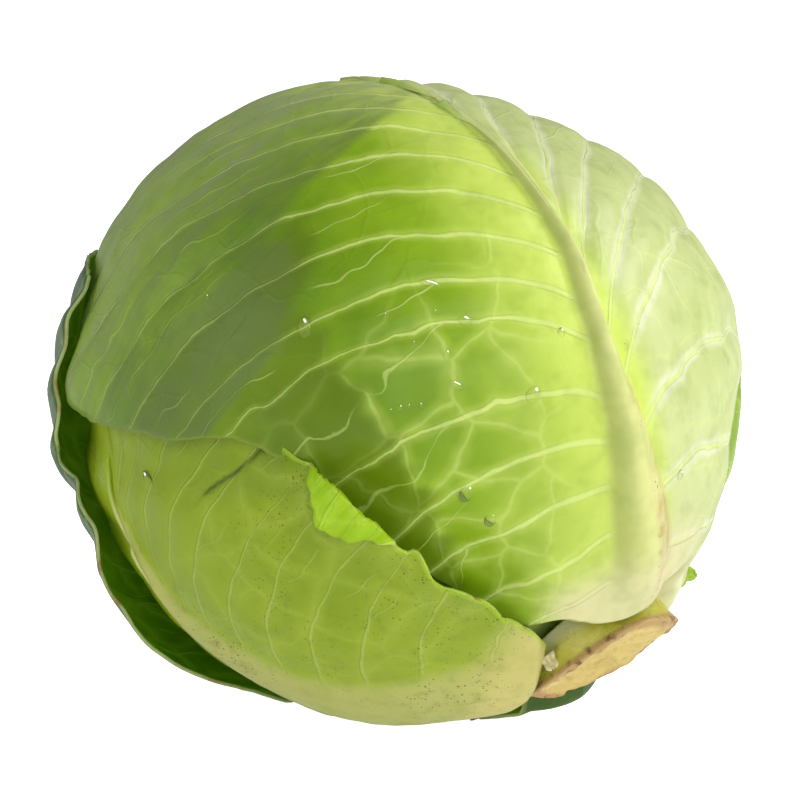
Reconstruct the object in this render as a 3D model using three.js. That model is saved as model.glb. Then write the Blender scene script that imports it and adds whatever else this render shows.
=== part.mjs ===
// A green ball cabbage lying on its side, its cut stem low on the right and turned to the front.
// Millimetres, +Z up. The table is z = 0 and the centre of the head stands HEAD_HEIGHT above it.
// Each wrapper leaf is its own piece: a thin blade bent round the head, waved between its side
// veins, thick along the midrib and widening where it grows out of the stem.
import * as THREE from 'three';

const HEAD_HEIGHT = 82.5;
const REST_RADIUS = 24;       // the spot it lies on
const DEG = Math.PI / 180;

// the way the stem points, and two directions across it
const STEM = unit([0.56879, -0.52396, -0.63399]);
const ACROSS = unit(minusAlong([0.79602, 0.15673, 0.58463], STEM));
const SIDE = cross(STEM, ACROSS);
// upward direction the head is squashed along
const SQUASH = [0, Math.sin(15 * DEG), Math.cos(15 * DEG)];

function dot(a, b) { return a[0] * b[0] + a[1] * b[1] + a[2] * b[2]; }
function cross(a, b) {
  return [a[1] * b[2] - a[2] * b[1], a[2] * b[0] - a[0] * b[2], a[0] * b[1] - a[1] * b[0]];
}
function unit(a) { const n = Math.hypot(...a); return a.map((v) => v / n); }
function minusAlong(a, b) { const k = dot(a, b); return a.map((v, i) => v - k * b[i]); }
function step(a, b, x) {
  const t = Math.min(1, Math.max(0, (x - a) / (b - a)));
  return t * t * (3 - 2 * t);
}
function bump(x, y, cx, cy, size) {
  return Math.exp(-((x - cx) ** 2 + (y - cy) ** 2) / (2 * size * size));
}

// distance from the centre of the head to the face of its wrapper leaves, in direction u
function headRadius(u) {
  const fromStem = Math.acos(Math.max(-1, Math.min(1, dot(u, STEM)))) / DEG;
  const x = u[0];
  const z = dot(u, SQUASH);
  const fromBelow = Math.acos(Math.max(-1, Math.min(1, -z))) / DEG;
  return 86.5 * (1 + 0.087 * Math.exp(-((fromStem / 35) ** 2)) + 0.039 * Math.exp(-((fromBelow / 30) ** 2))
    - 0.004 * x * x - 0.0695 * z * z + 0.011 * x * z - 0.088 * x * z * z + 0.058 * z * x * x);
}

// A leaf is laid out flat in degrees: x across it, y from the stem (about -76) towards the crown.
function leafDirection(turn, x, y) {
  const c = Math.cos(turn * DEG);
  const s = Math.sin(turn * DEG);
  const middle = ACROSS.map((v, i) => c * v + s * SIDE[i]);
  const across = ACROSS.map((v, i) => -s * v + c * SIDE[i]);
  const far = Math.hypot(x, y);
  if (far < 1e-9) return middle;
  const a = Math.cos(far * DEG);
  const b = Math.sin(far * DEG) / far;
  return unit(middle.map((v, i) => a * v + b * (x * across[i] - y * STEM[i])));
}

// the opposite: where on the flat leaf a direction falls
function leafPlace(turn, u) {
  const c = Math.cos(turn * DEG);
  const s = Math.sin(turn * DEG);
  const [m, a, b] = [c * dot(u, ACROSS) + s * dot(u, SIDE), -s * dot(u, ACROSS) + c * dot(u, SIDE), -dot(u, STEM)];
  const far = Math.acos(Math.max(-1, Math.min(1, m))) / DEG;
  const n = Math.hypot(a, b) || 1;
  return [(far * a) / n, (far * b) / n];
}

// the table presses the leaves level: outer leaves down to z = 0, the ones inside them above it
function place(u, radius, level, lowestLevel, covered = 1) {
  const p = u.map((v) => v * radius);
  p[2] += HEAD_HEIGHT;
  const floor = Math.max(0, 0.7 + (lowestLevel - level - 0.7) * covered);
  const pressed = Math.hypot(p[0], p[1]) < REST_RADIUS && p[2] < HEAD_HEIGHT / 2 && level < lowestLevel + 1;
  if (p[2] < floor || (pressed && p[2] < floor + 2)) p[2] = floor;
  return p;
}

function along(points, count) {
  // the same number of steps of equal length along a line of points
  const dist = [0];
  for (let i = 1; i < points.length; i += 1) {
    dist.push(dist[i - 1] + Math.hypot(points[i][0] - points[i - 1][0], points[i][1] - points[i - 1][1]));
  }
  const total = dist[dist.length - 1];
  const out = [];
  for (let k = 0; k <= count; k += 1) {
    const d = (total * k) / count;
    let i = 1;
    while (i < dist.length - 1 && dist[i] < d) i += 1;
    const t = (d - dist[i - 1]) / (dist[i] - dist[i - 1]);
    out.push([0, 1].map((j) => points[i - 1][j] + t * (points[i][j] - points[i - 1][j])));
  }
  return out;
}

function lookUp(table, y) {
  // straight between pairs [y, value]
  if (y <= table[0][0]) return table[0][1];
  for (let i = 1; i < table.length; i += 1) {
    if (y <= table[i][0]) {
      const t = (y - table[i - 1][0]) / (table[i][0] - table[i - 1][0]);
      return table[i - 1][1] + t * (table[i][1] - table[i - 1][1]);
    }
  }
  return table[table.length - 1][1];
}

const ROWS = 24;              // every second row is a side vein, the rows between stand up a little
const BLADE_STEPS = [0.16, 0.36, 0.58, 0.8, 1];
const BLADE = 1.25;           // blade thickness
const WAVE = 0.3;             // how far the blade stands up between two side veins
const TABLE_LEVEL = 3.2;      // level of the outermost leaf, the one the head lies on

function ribHalfWidth(y) { return 0.7 + 3.9 * step(60, -80, y) + 9 * Math.exp(-(y + 78) / 4.5); }

// flat layout of one leaf: rows of [x, y] from its left edge over the midrib to its right edge
function leafLayout(leaf) {
  const edges = [leaf.left, leaf.right].map((edge) => (edge.length === ROWS + 1 ? edge : along(edge, ROWS)));
  const rows = [];
  for (let k = 0; k <= ROWS; k += 1) {
    const t = k / ROWS;
    const y = leaf.ribFrom + (leaf.ribTo - leaf.ribFrom) * (t ** 1.05);
    const x = lookUp(leaf.rib, y);
    const sides = edges.map((edge, which) => {
      const sign = which === 0 ? 1 : -1;
      const end = edge[k];
      const span = Math.hypot(end[0] - x, end[1] - y);
      const lift = Math.sin(Math.PI * Math.min(1, t * 1.15 + 0.02)) ** 0.6;
      const bend = [x + sign * 0.42 * span * (0.62 + 0.3 * (1 - lift)), y + 0.42 * span * 0.72 * lift
        + (1 - lift) * 0.42 * (end[1] - y)];
      const curve = (s) => [0, 1].map((j) => (1 - s) ** 2 * [x, y][j] + 2 * s * (1 - s) * bend[j]
        + s * s * end[j]);
      const w = Math.min(0.3, ribHalfWidth(y) / span);
      const out = [curve(w * 0.55), curve(w)];
      BLADE_STEPS.forEach((s) => out.push(curve(w + (1 - w) * s)));
      return out;
    });
    rows.push([...sides[0].slice().reverse(), [x, y], ...sides[1]]);
  }
  return rows;
}

function leafGeometry(leaf) {
  const layout = leafLayout(leaf);
  const cols = layout[0].length;
  const middle = (cols - 1) / 2;
  const outer = [];
  const inner = [];
  layout.forEach((row, k) => row.forEach(([x, y], c) => {
    const fromRib = Math.abs(c - middle);
    const u = leafDirection(leaf.turn, x, y);
    const edge = fromRib / middle;
    const wave = fromRib < 2 ? 0 : WAVE * (k % 2 ? 1 : -1) * step(1, 4, fromRib)
      * step(0, 3, k) * step(0, 2, ROWS - k) * (1 + 0.4 * edge);
    const ribTall = (leaf.ribTall ?? 1) * lookUp([[-76, 4.6], [-66, 3.4], [-45, 2.5], [0, 1.5], [30, 0.8],
      [60, 0.3]], y);
    const fade = leaf.ribFade ? step(leaf.ribFade[1], leaf.ribFade[0], y) : 1;
    const rib = fade * (fromRib === 0 ? ribTall : fromRib === 1 ? ribTall * 0.72 : fromRib === 2 ? 0.08 * ribTall : 0);
    const foot = 2.2 * step(-66, -76, y) * (fromRib > 3 ? 0.15 : fromRib > 2 ? 0.5 : 1);
    const level = leaf.level(x, y);
    const face = headRadius(u) + level + wave;
    // where the outermost leaf doesn't reach, a leaf may sink nearly to the table
    const covered = leaf.covered ? leaf.covered(x, y) : 1;
    outer.push(place(u, face + rib + foot, level, TABLE_LEVEL, covered));
    inner.push(place(u, face - BLADE, level - BLADE, TABLE_LEVEL, covered + (1 - covered) * 0.3));
  }));
  const positions = [...outer, ...inner];
  const half = outer.length;
  const tris = [];
  const at = (k, c) => k * cols + c;
  const quad = (a, b, c, d) => tris.push([a, b, c], [a, c, d]);
  for (let k = 0; k < ROWS; k += 1) {
    for (let c = 0; c < cols - 1; c += 1) {
      const [p, q, r, s] = [at(k, c), at(k, c + 1), at(k + 1, c + 1), at(k + 1, c)];
      if ((k + (c < middle ? 1 : 0)) % 2) {
        tris.push([p, q, r], [p, r, s], [half + p, half + r, half + q], [half + p, half + s, half + r]);
      } else {
        tris.push([p, q, s], [q, r, s], [half + p, half + s, half + q], [half + q, half + s, half + r]);
      }
    }
  }
  for (let c = 0; c < cols - 1; c += 1) {
    quad(at(0, c + 1), at(0, c), half + at(0, c), half + at(0, c + 1));
    quad(at(ROWS, c), at(ROWS, c + 1), half + at(ROWS, c + 1), half + at(ROWS, c));
  }
  for (let k = 0; k < ROWS; k += 1) {
    quad(at(k, 0), at(k + 1, 0), half + at(k + 1, 0), half + at(k, 0));
    quad(at(k + 1, cols - 1), at(k, cols - 1), half + at(k, cols - 1), half + at(k + 1, cols - 1));
  }
  return closed(positions, tris);
}

// one closed body with its faces turned outwards
function closed(positions, tris) {
  let volume = 0;
  tris.forEach(([a, b, c]) => { volume += dot(positions[a], cross(positions[b], positions[c])); });
  const faces = volume < 0 ? tris.map(([a, b, c]) => [a, c, b]) : tris;
  const geometry = new THREE.BufferGeometry();
  geometry.setAttribute('position', new THREE.Float32BufferAttribute(positions.flat(), 3));
  geometry.setIndex(faces.flat());
  geometry.computeVertexNormals();
  return geometry;
}

// Pale front leaf. Its midrib climbs from the stem over the top of the head. The left edge is ragged
// and flares out in a point; near the stem it slips under the lower leaf.
const FRONT = {
  turn: 54.5,
  ribFrom: -76.2,
  ribTo: 77,
  rib: [[-77, 3], [-67, 1], [-55, 2], [-35, 2], [-25, 1], [-17, -1], [-7, -2], [4, -3], [17, -5], [29, -7],
    [44, -8], [77, -2]],
  left: [[13.4, -77.6], [25, -76], [35, -69], [41, -58], [47, -49], [51, -41], [54, -33], [55.5, -27], [55.5, -21.5],
    [58.5, -15.5], [61.5, -10], [66, -5], [71, -0.5], [75, 4.5], [79, 12], [82, 18.5], [84, 25], [84.5, 32],
    [82.5, 38.5], [77, 45], [72, 54], [65, 63], [52, 71], [36, 76], [20, 78]],
  right: [[-13.4, -77.6], [-25, -77], [-33, -70], [-35, -60], [-32, -53], [-37, -46], [-49, -39], [-58, -28],
    [-67, -12], [-71, 8], [-68, 28], [-60, 46], [-46, 61], [-28, 72], [-12, 77]],
  edgeByHeight: [[-75, -20], [-67, -33], [-59, -34], [-53, -32], [-46, -37], [-39, -49], [-28, -58], [-12, -67],
    [8, -71], [28, -68], [46, -60], [61, -46], [72, -28], [77, -10]],
  level(x, y) {
    const past = (x - 57) * 0.849 - (y + 22) * 0.529;
    const down = -(x - 57) * 0.529 - (y + 22) * 0.849;
    return -2.5 * step(-12, -1, past) * step(-4, 9, down) + 4.2 * bump(x, y, 83, 38, 7);
  },
};

// Lower leaf. Its midrib runs along the bottom. Its upper edge is torn where it slips under the
// front leaf, and right of the tear it lies over the front leaf with a curled flap.
const LOWER = {
  turn: 150,
  ribFade: [-6, 14],
  ribFrom: -74.6,
  ribTo: 60,
  rib: [[-77, 0], [-65, 2], [-54, 7], [-42, 8], [-20, 8], [-11, 6], [-3, 2], [10, -1], [60, -2]],
  right: [[-13.6, -76.6], [-20, -70], [-26, -62], [-30, -55], [-30, -50], [-34, -44], [-35.5, -39], [-38, -34],
    [-39.5, -28], [-38.5, -23], [-36, -19.5], [-34, -15], [-33, -12], [-29, -10.5], [-33, -7], [-40, -2], [-46, 5],
    [-50, 14], [-51, 24], [-48, 34], [-43, 44], [-35, 52], [-26, 58], [-17, 61], [-8, 62]],
  left: [[13.6, -76.6], [29, -70], [43, -55], [52, -38], [57, -18], [58, 2], [54, 22], [44, 40], [28, 54], [8, 61]],
  level(x, y) {
    const under = (y - x - 23) / Math.SQRT2;
    const leftOf = (x + 37 + y + 19) / Math.SQRT2;
    const dip = -3.7 * step(-13, -3, under) * step(1, 9, leftOf);
    const flap = 4.6 * bump(x, y, -41, -28, 3.6) + 2.4 * bump(x, y, -39.5, -34, 3);
    return 0.35 * step(-22, -36, x) + dip + flap;
  },
  covered(x, y) {
    const [ox, oy] = leafPlace(OUTER.turn, leafDirection(LOWER.turn, x, y));
    const edge = lookUp(OUTER.edgeByHeight, oy);
    return step(edge - 10, edge - 3, ox);
  },
};

// Dark outermost leaf. It lies under the head and round the back, and its wavy torn edge stands
// off at the left.
const OUTER = {
  turn: 240,
  ribFrom: -74.6,
  ribTo: 68,
  rib: [[-77, 0], [-40, 3], [0, 2], [68, -6]],
  ribTall: 0.8,
  standOff: [[-48, 3.2], [-34, 3.4], [-29, 4.6], [-24, 7.2], [-19, 8.6], [-8, 9.5], [-2, 9.1], [4, 8], [10, 6],
    [16, 5.3], [22, 4.8], [27, 6.4], [31, 7.2], [42, 6.1], [55, 5], [64, 3.6], [72, 2.4]],
  edgeByHeight: [[-77, -14], [-66, -15], [-55, -16], [-46, -19], [-38, -26], [-31, -36], [-27.5, -46], [-24, -56],
    [-18, -62]],
  right: [[-13.6, -76.6], [-15, -66], [-16, -55], [-19, -46], [-26, -38], [-36, -31], [-46, -27.5], [-56, -24],
    [-62, -18], [-66, -12], [-69, -5], [-72, 2], [-79, 5], [-81, 12], [-80, 20], [-76, 26], [-82, 29], [-84, 36], [-84, 44],
    [-86, 54], [-84, 64], [-73, 72], [-56, 75], [-34, 74], [-18, 70]],
  left: [[13.6, -76.6], [29, -70], [43, -56], [55, -38], [63, -18], [66, 4], [62, 26], [51, 44], [34, 59], [10, 69]],
  level(x, y) {
    // the free margin at the left stands off by a different amount along its length
    return TABLE_LEVEL + (lookUp(this.standOff, y) - TABLE_LEVEL) * step(-44, -66, x);
  },
};

// Right leaf, seen as a thin strip past the edge of the front leaf.
const RIGHT = {
  turn: -45,
  ribFrom: -76.2,
  ribTo: 72,
  rib: [[-77, 0], [-30, -2], [20, 1], [72, 4]],
  ribTall: 0.85,
  left: [[13.4, -77.6], [28, -72], [42, -58], [55, -42], [65, -22], [70, 0], [68, 24], [60, 44], [42, 60], [16, 71]],
  right: [[-13.4, -77.6], [-29, -70], [-44, -54], [-58, -34], [-67, -10], [-69, 14], [-62, 36], [-46, 55], [-24, 68],
    [-8, 72]],
  level(x, y) {
    // under the front leaf it dips, past the edge of that leaf it swells out again
    const [fx, fy] = leafPlace(FRONT.turn, leafDirection(-45, x, y));
    const edge = lookUp(FRONT.edgeByHeight, fy);
    return -0.2 - 3 * Math.max(step(-8, -2, fx - edge), step(60, 72, fy));
  },
};

// Leaf that closes the crown, under the others.
const CROWN = {
  turn: 186,
  ribFrom: -74.2,
  ribTo: 92,
  rib: [[-77, 0], [0, 2], [50, -2], [92, 0]],
  ribTall: 0.3,
  left: [[13, -76.4], [29, -69], [45, -52], [58, -32], [66, -8], [68, 20], [66, 46], [58, 70], [40, 86], [12, 93]],
  right: [[-13, -76.4], [-29, -69], [-45, -52], [-58, -32], [-66, -8], [-68, 20], [-64, 46], [-54, 68], [-36, 84],
    [-10, 93]],
  level() { return -7; },
};

// The packed inner leaves: a firm ball whose topmost leaves end in steps that wind round the crown.
function innerHeadGeometry() {
  const rings = 22;
  const around = 32;
  const point = (i, j) => {
    const polar = 180 * (i / rings);
    const turn = (360 * j) / around;
    const c = Math.cos(turn * DEG);
    const s = Math.sin(turn * DEG);
    const u = [0, 1, 2].map((k) => Math.cos(polar * DEG) * STEM[k]
      + Math.sin(polar * DEG) * (c * ACROSS[k] + s * SIDE[k]));
    let level = -10;
    const wound = ((turn + 1.6 * (180 - polar)) % 120 + 120) % 120;
    level -= 1.5 * step(0, 1, wound / 120) * step(0, 12, 180 - polar) * step(100, 125, polar);
    return place(u, headRadius(u) + level, level, TABLE_LEVEL);
  };
  const positions = [point(0, 0)];
  for (let i = 1; i < rings; i += 1) for (let j = 0; j < around; j += 1) positions.push(point(i, j));
  positions.push(point(rings, 0));
  const at = (i, j) => 1 + (i - 1) * around + (j % around);
  const tris = [];
  for (let j = 0; j < around; j += 1) {
    tris.push([0, at(1, j), at(1, j + 1)]);
    tris.push([positions.length - 1, at(rings - 1, j + 1), at(rings - 1, j)]);
    for (let i = 1; i < rings - 1; i += 1) {
      tris.push([at(i, j), at(i + 1, j), at(i + 1, j + 1)], [at(i, j), at(i + 1, j + 1), at(i, j + 1)]);
    }
  }
  return closed(positions, tris);
}

// The cut stem: a short stump with flats where leaves were trimmed off and an uneven cut face.
function stemGeometry() {
  const around = 40;
  const flat = (turn, at, wide) => Math.exp(-((((turn - at + 540) % 360) - 180) ** 2) / (2 * wide * wide));
  const rim = (turn) => 88.4 + 2.8 * Math.cos(turn * DEG) + 1.2 * Math.sin(turn * DEG)
    - 1.6 * flat(turn, 185, 24) + 0.5 * Math.sin(3 * turn * DEG + 1);
  const spread = (turn) => Math.tan((13.5 - 1.1 * Math.cos(turn * DEG)) * DEG);
  const wide = (turn) => 20.9 - 1.9 * Math.cos(turn * DEG) - 1.5 * flat(turn, 100, 20) + 1 * flat(turn, 60, 14)
    + 1.1 * flat(turn, 140, 12) - 1.1 * flat(turn, 250, 18) + 0.9 * flat(turn, 290, 14) - 0.8 * flat(turn, 335, 14);
  const rings = [];
  const ring = (height, radius) => rings.push([height, radius]);
  const flank = (height, turn) => Math.min(wide(turn), height * spread(turn));
  ring(() => 78, () => 8);
  ring(() => 78, (t) => 78 * spread(t) - 1);
  ring(() => 80, (t) => flank(80, t));
  ring((t) => 0.6 * 80 + 0.4 * rim(t), (t) => flank(0.6 * 80 + 0.4 * rim(t), t));
  ring((t) => 0.25 * 80 + 0.75 * rim(t), (t) => flank(0.25 * 80 + 0.75 * rim(t), t));
  ring((t) => rim(t) - 1.2, (t) => flank(rim(t) - 1.2, t));
  ring((t) => rim(t), (t) => flank(rim(t), t) - 0.6);
  ring((t) => rim(t) + 0.3, (t) => wide(t) - 2.2);
  ring((t) => 0.5 * rim(t) + 44.6, (t) => 0.62 * wide(t));
  ring(() => 89.4, () => 5.5);
  const positions = [];
  const put = (height, radius, turn) => positions.push([0, 1, 2].map((k) => height * STEM[k]
    + radius * (Math.cos(turn * DEG) * ACROSS[k] + Math.sin(turn * DEG) * SIDE[k]) + (k === 2 ? HEAD_HEIGHT : 0)));
  put(78, 0, 0);
  rings.forEach(([height, radius]) => {
    for (let j = 0; j < around; j += 1) { const t = (360 * j) / around; put(height(t), radius(t), t); }
  });
  put(89.2, 0, 0);
  const last = positions.length - 1;
  const at = (i, j) => 1 + i * around + (j % around);
  const tris = [];
  for (let j = 0; j < around; j += 1) {
    tris.push([0, at(0, j), at(0, j + 1)], [last, at(rings.length - 1, j + 1), at(rings.length - 1, j)]);
    for (let i = 0; i < rings.length - 1; i += 1) {
      tris.push([at(i, j), at(i + 1, j), at(i + 1, j + 1)], [at(i, j), at(i + 1, j + 1), at(i, j + 1)]);
    }
  }
  return closed(positions, tris);
}

function piece(name, geometry, colour, roughness) {
  const mesh = new THREE.Mesh(geometry, new THREE.MeshStandardMaterial({ color: colour, roughness, metalness: 0 }));
  mesh.name = name;
  return mesh;
}

const head = new THREE.Group();
head.name = 'cabbage_head';
head.add(piece('stem', stemGeometry(), 0xe0cb84, 0.8));
head.add(piece('inner_head', innerHeadGeometry(), 0xc9dd8e, 0.6));
head.add(piece('leaf_crown', leafGeometry(CROWN), 0xb9d46c, 0.55));
head.add(piece('leaf_right', leafGeometry(RIGHT), 0xa4c860, 0.55));
head.add(piece('leaf_front', leafGeometry(FRONT), 0xb4cc62, 0.5));
head.add(piece('leaf_lower', leafGeometry(LOWER), 0x93a93f, 0.55));
head.add(piece('leaf_outer', leafGeometry(OUTER), 0x2f5a0e, 0.55));

export default head;
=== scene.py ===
# %% [markdown]
# A green ball cabbage lies on its side with its cut stem turned to the front and the right.
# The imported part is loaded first: its solids say where each leaf, the inner head and the stem are.
# Every piece made below stands for one of those solids and rides on the part's only body.

# %% Load the frame
import math
import bmesh
import bpy
import numpy as np
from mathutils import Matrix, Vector


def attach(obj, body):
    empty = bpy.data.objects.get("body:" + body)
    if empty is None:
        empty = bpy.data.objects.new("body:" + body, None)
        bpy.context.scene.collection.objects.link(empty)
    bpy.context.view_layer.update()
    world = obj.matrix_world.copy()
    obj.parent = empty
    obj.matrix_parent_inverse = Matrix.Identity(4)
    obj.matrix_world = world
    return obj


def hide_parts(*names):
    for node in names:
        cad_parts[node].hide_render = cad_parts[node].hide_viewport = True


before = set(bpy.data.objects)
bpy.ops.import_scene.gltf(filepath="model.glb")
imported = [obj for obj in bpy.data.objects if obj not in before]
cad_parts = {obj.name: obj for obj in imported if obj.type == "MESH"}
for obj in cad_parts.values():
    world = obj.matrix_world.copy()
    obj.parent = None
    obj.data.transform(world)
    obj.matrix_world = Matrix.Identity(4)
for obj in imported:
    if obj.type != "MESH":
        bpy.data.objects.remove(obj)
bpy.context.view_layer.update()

MM = 0.001

# %% [markdown]
# The head is nearly a ball, a little wider than tall, and it swells towards the stem where the
# thick leaf bases crowd together. One formula gives the distance from its centre to the faces of
# its wrapper leaves, so every leaf can be laid out flat and then bent round the same head.

# %% The head's own shape
HEAD_HEIGHT = 82.5  # the head's centre, mm above the table
HEAD_RADIUS = 86.5
LEAF_RADIUS = 86.0  # distances over a leaf are measured on a ball of this radius
def unit(v):
    return np.asarray(v, float) / np.linalg.norm(v)

STEM = unit([0.56879, -0.52396, -0.63399])
ACROSS = np.array([0.79602, 0.15673, 0.58463])
ACROSS = unit(ACROSS - STEM * (ACROSS @ STEM))
SIDE = np.cross(STEM, ACROSS)
# up in the photo: the camera looks down by 15 degrees
SQUASH = np.array([0, math.sin(math.radians(15)), math.cos(math.radians(15))])

def head_radius(u):
    from_stem = np.degrees(np.arccos(np.clip(u @ STEM, -1, 1)))
    x, z = u[..., 0], u @ SQUASH
    from_below = np.degrees(np.arccos(np.clip(-z, -1, 1)))
    swollen = 0.087 * np.exp(-((from_stem / 35) ** 2)) + 0.039 * np.exp(-((from_below / 30) ** 2))
    return HEAD_RADIUS * (1 + swollen - 0.004 * x * x - 0.0695 * z * z + 0.011 * x * z
                          - 0.088 * x * z * z + 0.058 * z * x * x)

def leaf_frame(turn):
    c, s = math.cos(math.radians(turn)), math.sin(math.radians(turn))
    return c * ACROSS + s * SIDE, -s * ACROSS + c * SIDE

def leaf_direction(turn, x, y):
    middle, across = leaf_frame(turn)
    far = np.radians(np.maximum(np.hypot(x, y), 1e-6))
    k = np.radians(1) * np.sin(far) / far
    u = np.cos(far)[..., None] * middle + (k * x)[..., None] * across - (k * y)[..., None] * STEM
    return u / np.linalg.norm(u, axis=-1, keepdims=True)

def leaf_place(turn, u):
    middle, across = leaf_frame(turn)
    far = np.degrees(np.arccos(np.clip(u @ middle, -1, 1)))
    a, b = u @ across, -(u @ STEM)
    n = np.maximum(np.hypot(a, b), 1e-9)
    return far * a / n, far * b / n

def step(a, b, x):
    t = np.clip((np.asarray(x, float) - a) / (b - a), 0, 1)
    return t * t * (3 - 2 * t)

def bump(x, y, cx, cy, size):
    return np.exp(-((x - cx) ** 2 + (y - cy) ** 2) / (2 * size * size))

def look_up(table, y):
    table = np.asarray(table, float)
    return np.interp(y, table[:, 0], table[:, 1])

def smooth_line(points, where):
    # a smooth curve through the points, read at fractional point numbers
    p = np.asarray(points, float)
    p = np.vstack([2 * p[0] - p[1], p, 2 * p[-1] - p[-2]])
    i = np.clip(np.floor(where).astype(int), 0, len(p) - 4)
    t = (where - i)[:, None]
    a, b, c, d = p[i], p[i + 1], p[i + 2], p[i + 3]
    return 0.5 * (2 * b + (c - a) * t + (2 * a - 5 * b + 4 * c - d) * t ** 2
                  + (3 * b - a - 3 * c + d) * t ** 3)

print("head radius towards the stem", round(float(head_radius(STEM)), 1), "mm")

# %% [markdown]
# A cabbage leaf isn't smooth: the blade swells a little between its veins and the whole leaf
# rolls in slow waves. A handful of sine waves with random directions makes a soft unevenness
# that is the same on every run and costs almost nothing.

# %% Soft unevenness
def unevenness(size, count, seed):
    r = np.random.default_rng(seed)
    k = r.normal(size=(count, 3))
    k *= (2 * np.pi / size / np.linalg.norm(k, axis=1))[:, None] * r.uniform(0.7, 1.4, count)[:, None]
    phase = r.uniform(0, 2 * np.pi, count)
    return lambda p: np.sin(p @ k.T + phase).sum(-1) / math.sqrt(count / 2)

slow_wave = unevenness(60, 9, 1)
lump_wave = unevenness(22, 14, 2)
fine_wave = unevenness(7, 20, 3)
print("waves of about 60, 22 and 7 mm")

# %% [markdown]
# The front leaf is the largest thing in the photo, with the thick midrib down its right side.
# Each leaf is described the way a gardener would trace it on a table: the line of the midrib, the
# left and right edge as a few points in degrees round the head, and for each side vein the place
# where it leaves the midrib and the place where it meets the edge. Level is how far in or out the
# leaf lies, in millimetres, because leaves lap over one another and one slips under the next.

# %% The front leaf
FRONT = dict(
    turn=54.5, sink_side=0.05, rib_from=-74.4, rib_to=77, node="leaf_front", seed=11, tall=1.15,
    right_swell=1.9,
    rib=[(-77, 3), (-67, 1), (-55, 2), (-35, 2), (-25, 1), (-17, -1), (-7, -2), (4, -3), (17, -5), (29, -7),
         (44, -8), (77, -2)],
    left=[(12.5, -75.4), (19, -72.6), (25, -72.4), (29.5, -70), (36, -66), (41, -58), (47, -49), (51, -41),
          (54, -33), (55.5, -27), (55.5, -21.5), (58.5, -15.5), (61.5, -10), (66, -5), (71, -0.5),
          (75, 4.5), (79, 12), (82, 18.5), (84, 25), (84.5, 32), (82.5, 38.5), (77, 45), (72, 54), (65, 63),
          (52, 71), (36, 76), (20, 78)],
    right=[(-13.4, -75.2), (-25, -75), (-33, -70), (-35, -60), (-32, -53), (-37, -46), (-49, -39),
           (-58, -28), (-67, -12), (-71, 8), (-68, 28), (-60, 46), (-46, 61), (-28, 72), (-12, 77)],
    veins_left=[(-74.4, 0), (-66, 2.2), (-58, 4), (-52, 5.5), (-46, 6.8), (-39.5, 8.6), (-31, 12.5),
                (-24, 14.2), (-17, 16.2), (-9, 18), (-1, 20), (8, 21.3), (16, 22.2), (25, 22.9), (36, 23.4),
                (50, 23.8), (77, 24)],
    veins_right=[(-74.4, 0), (-66, 2.2), (-57, 4.2), (-47, 6.6), (-39, 8.3), (-32, 9.1), (-24, 9.9),
                 (-16, 10.8), (-6, 11.6), (3, 12.4), (10, 13), (20, 13.4), (32, 13.7), (48, 13.9), (77, 14)],
)
def front_level(x, y):
    past = (x - 57) * 0.849 - (y + 22) * 0.529
    down = -(x - 57) * 0.529 - (y + 22) * 0.849
    beside = -(x - 52) * 0.883 + (y + 24) * 0.47
    along = -(x - 52) * 0.47 - (y + 24) * 0.883
    hollow = -3.6 * step(12, 1, beside) * step(-3, 7, along) * step(58, 44, along)
    return -2.5 * step(-12, -1, past) * step(-4, 9, down) + 4.2 * bump(x, y, 83, 38, 7) + hollow

# painted sheen: the far left of the front leaf is painted grey, standing in for the reflection of the left
# lamp
SHEEN_LINE = [(-12, 96), (-8, 84), (-5, 66), (-3.5, 55), (-1, 44), (3, 41), (8, 38), (15, 36), (18, 31),
            (21, 23), (23, 13), (26, 3), (31, -4), (60, -12)]
def front_sheen(x, y):
    wander = 1.2 * np.sin(y * 0.5) + 0.7 * np.sin(y * 1.3 + 2)
    return step(-2.6, 2.6, x - look_up(SHEEN_LINE, y) - wander)

# below the painted sheen a band of the leaf is painted a darker, fuller green
DARK_LINE = [(-60, 38), (-34, 39), (-24, 39.5), (-19, 41), (-10, 41), (0, 41), (14, 29), (20, 40)]
def front_dark(x, y):
    wander = 0.9 * np.sin(y * 0.55 + 1) + 0.8 * np.sin(y * 1.2)
    return step(-2.2, 2.2, x - look_up(DARK_LINE, y) - wander) * step(18, 8, y)

FRONT["level"], FRONT["painted_sheen"], FRONT["dark"] = front_level, front_sheen, front_dark
FRONT_EDGE = [(-75, -20), (-67, -33), (-59, -34), (-53, -32), (-46, -37), (-39, -49), (-28, -58),
              (-12, -67), (8, -71), (28, -68), (46, -60), (61, -46), (72, -28), (77, -10)]
print("front leaf traced with", len(FRONT["left"]) + len(FRONT["right"]), "edge points")

# %% [markdown]
# The lower leaf wraps the bottom of the head on the left. Its midrib runs near its lower edge, its
# free margin bulges outwards, and a short tear reaches in from the margin near the flap.

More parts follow.
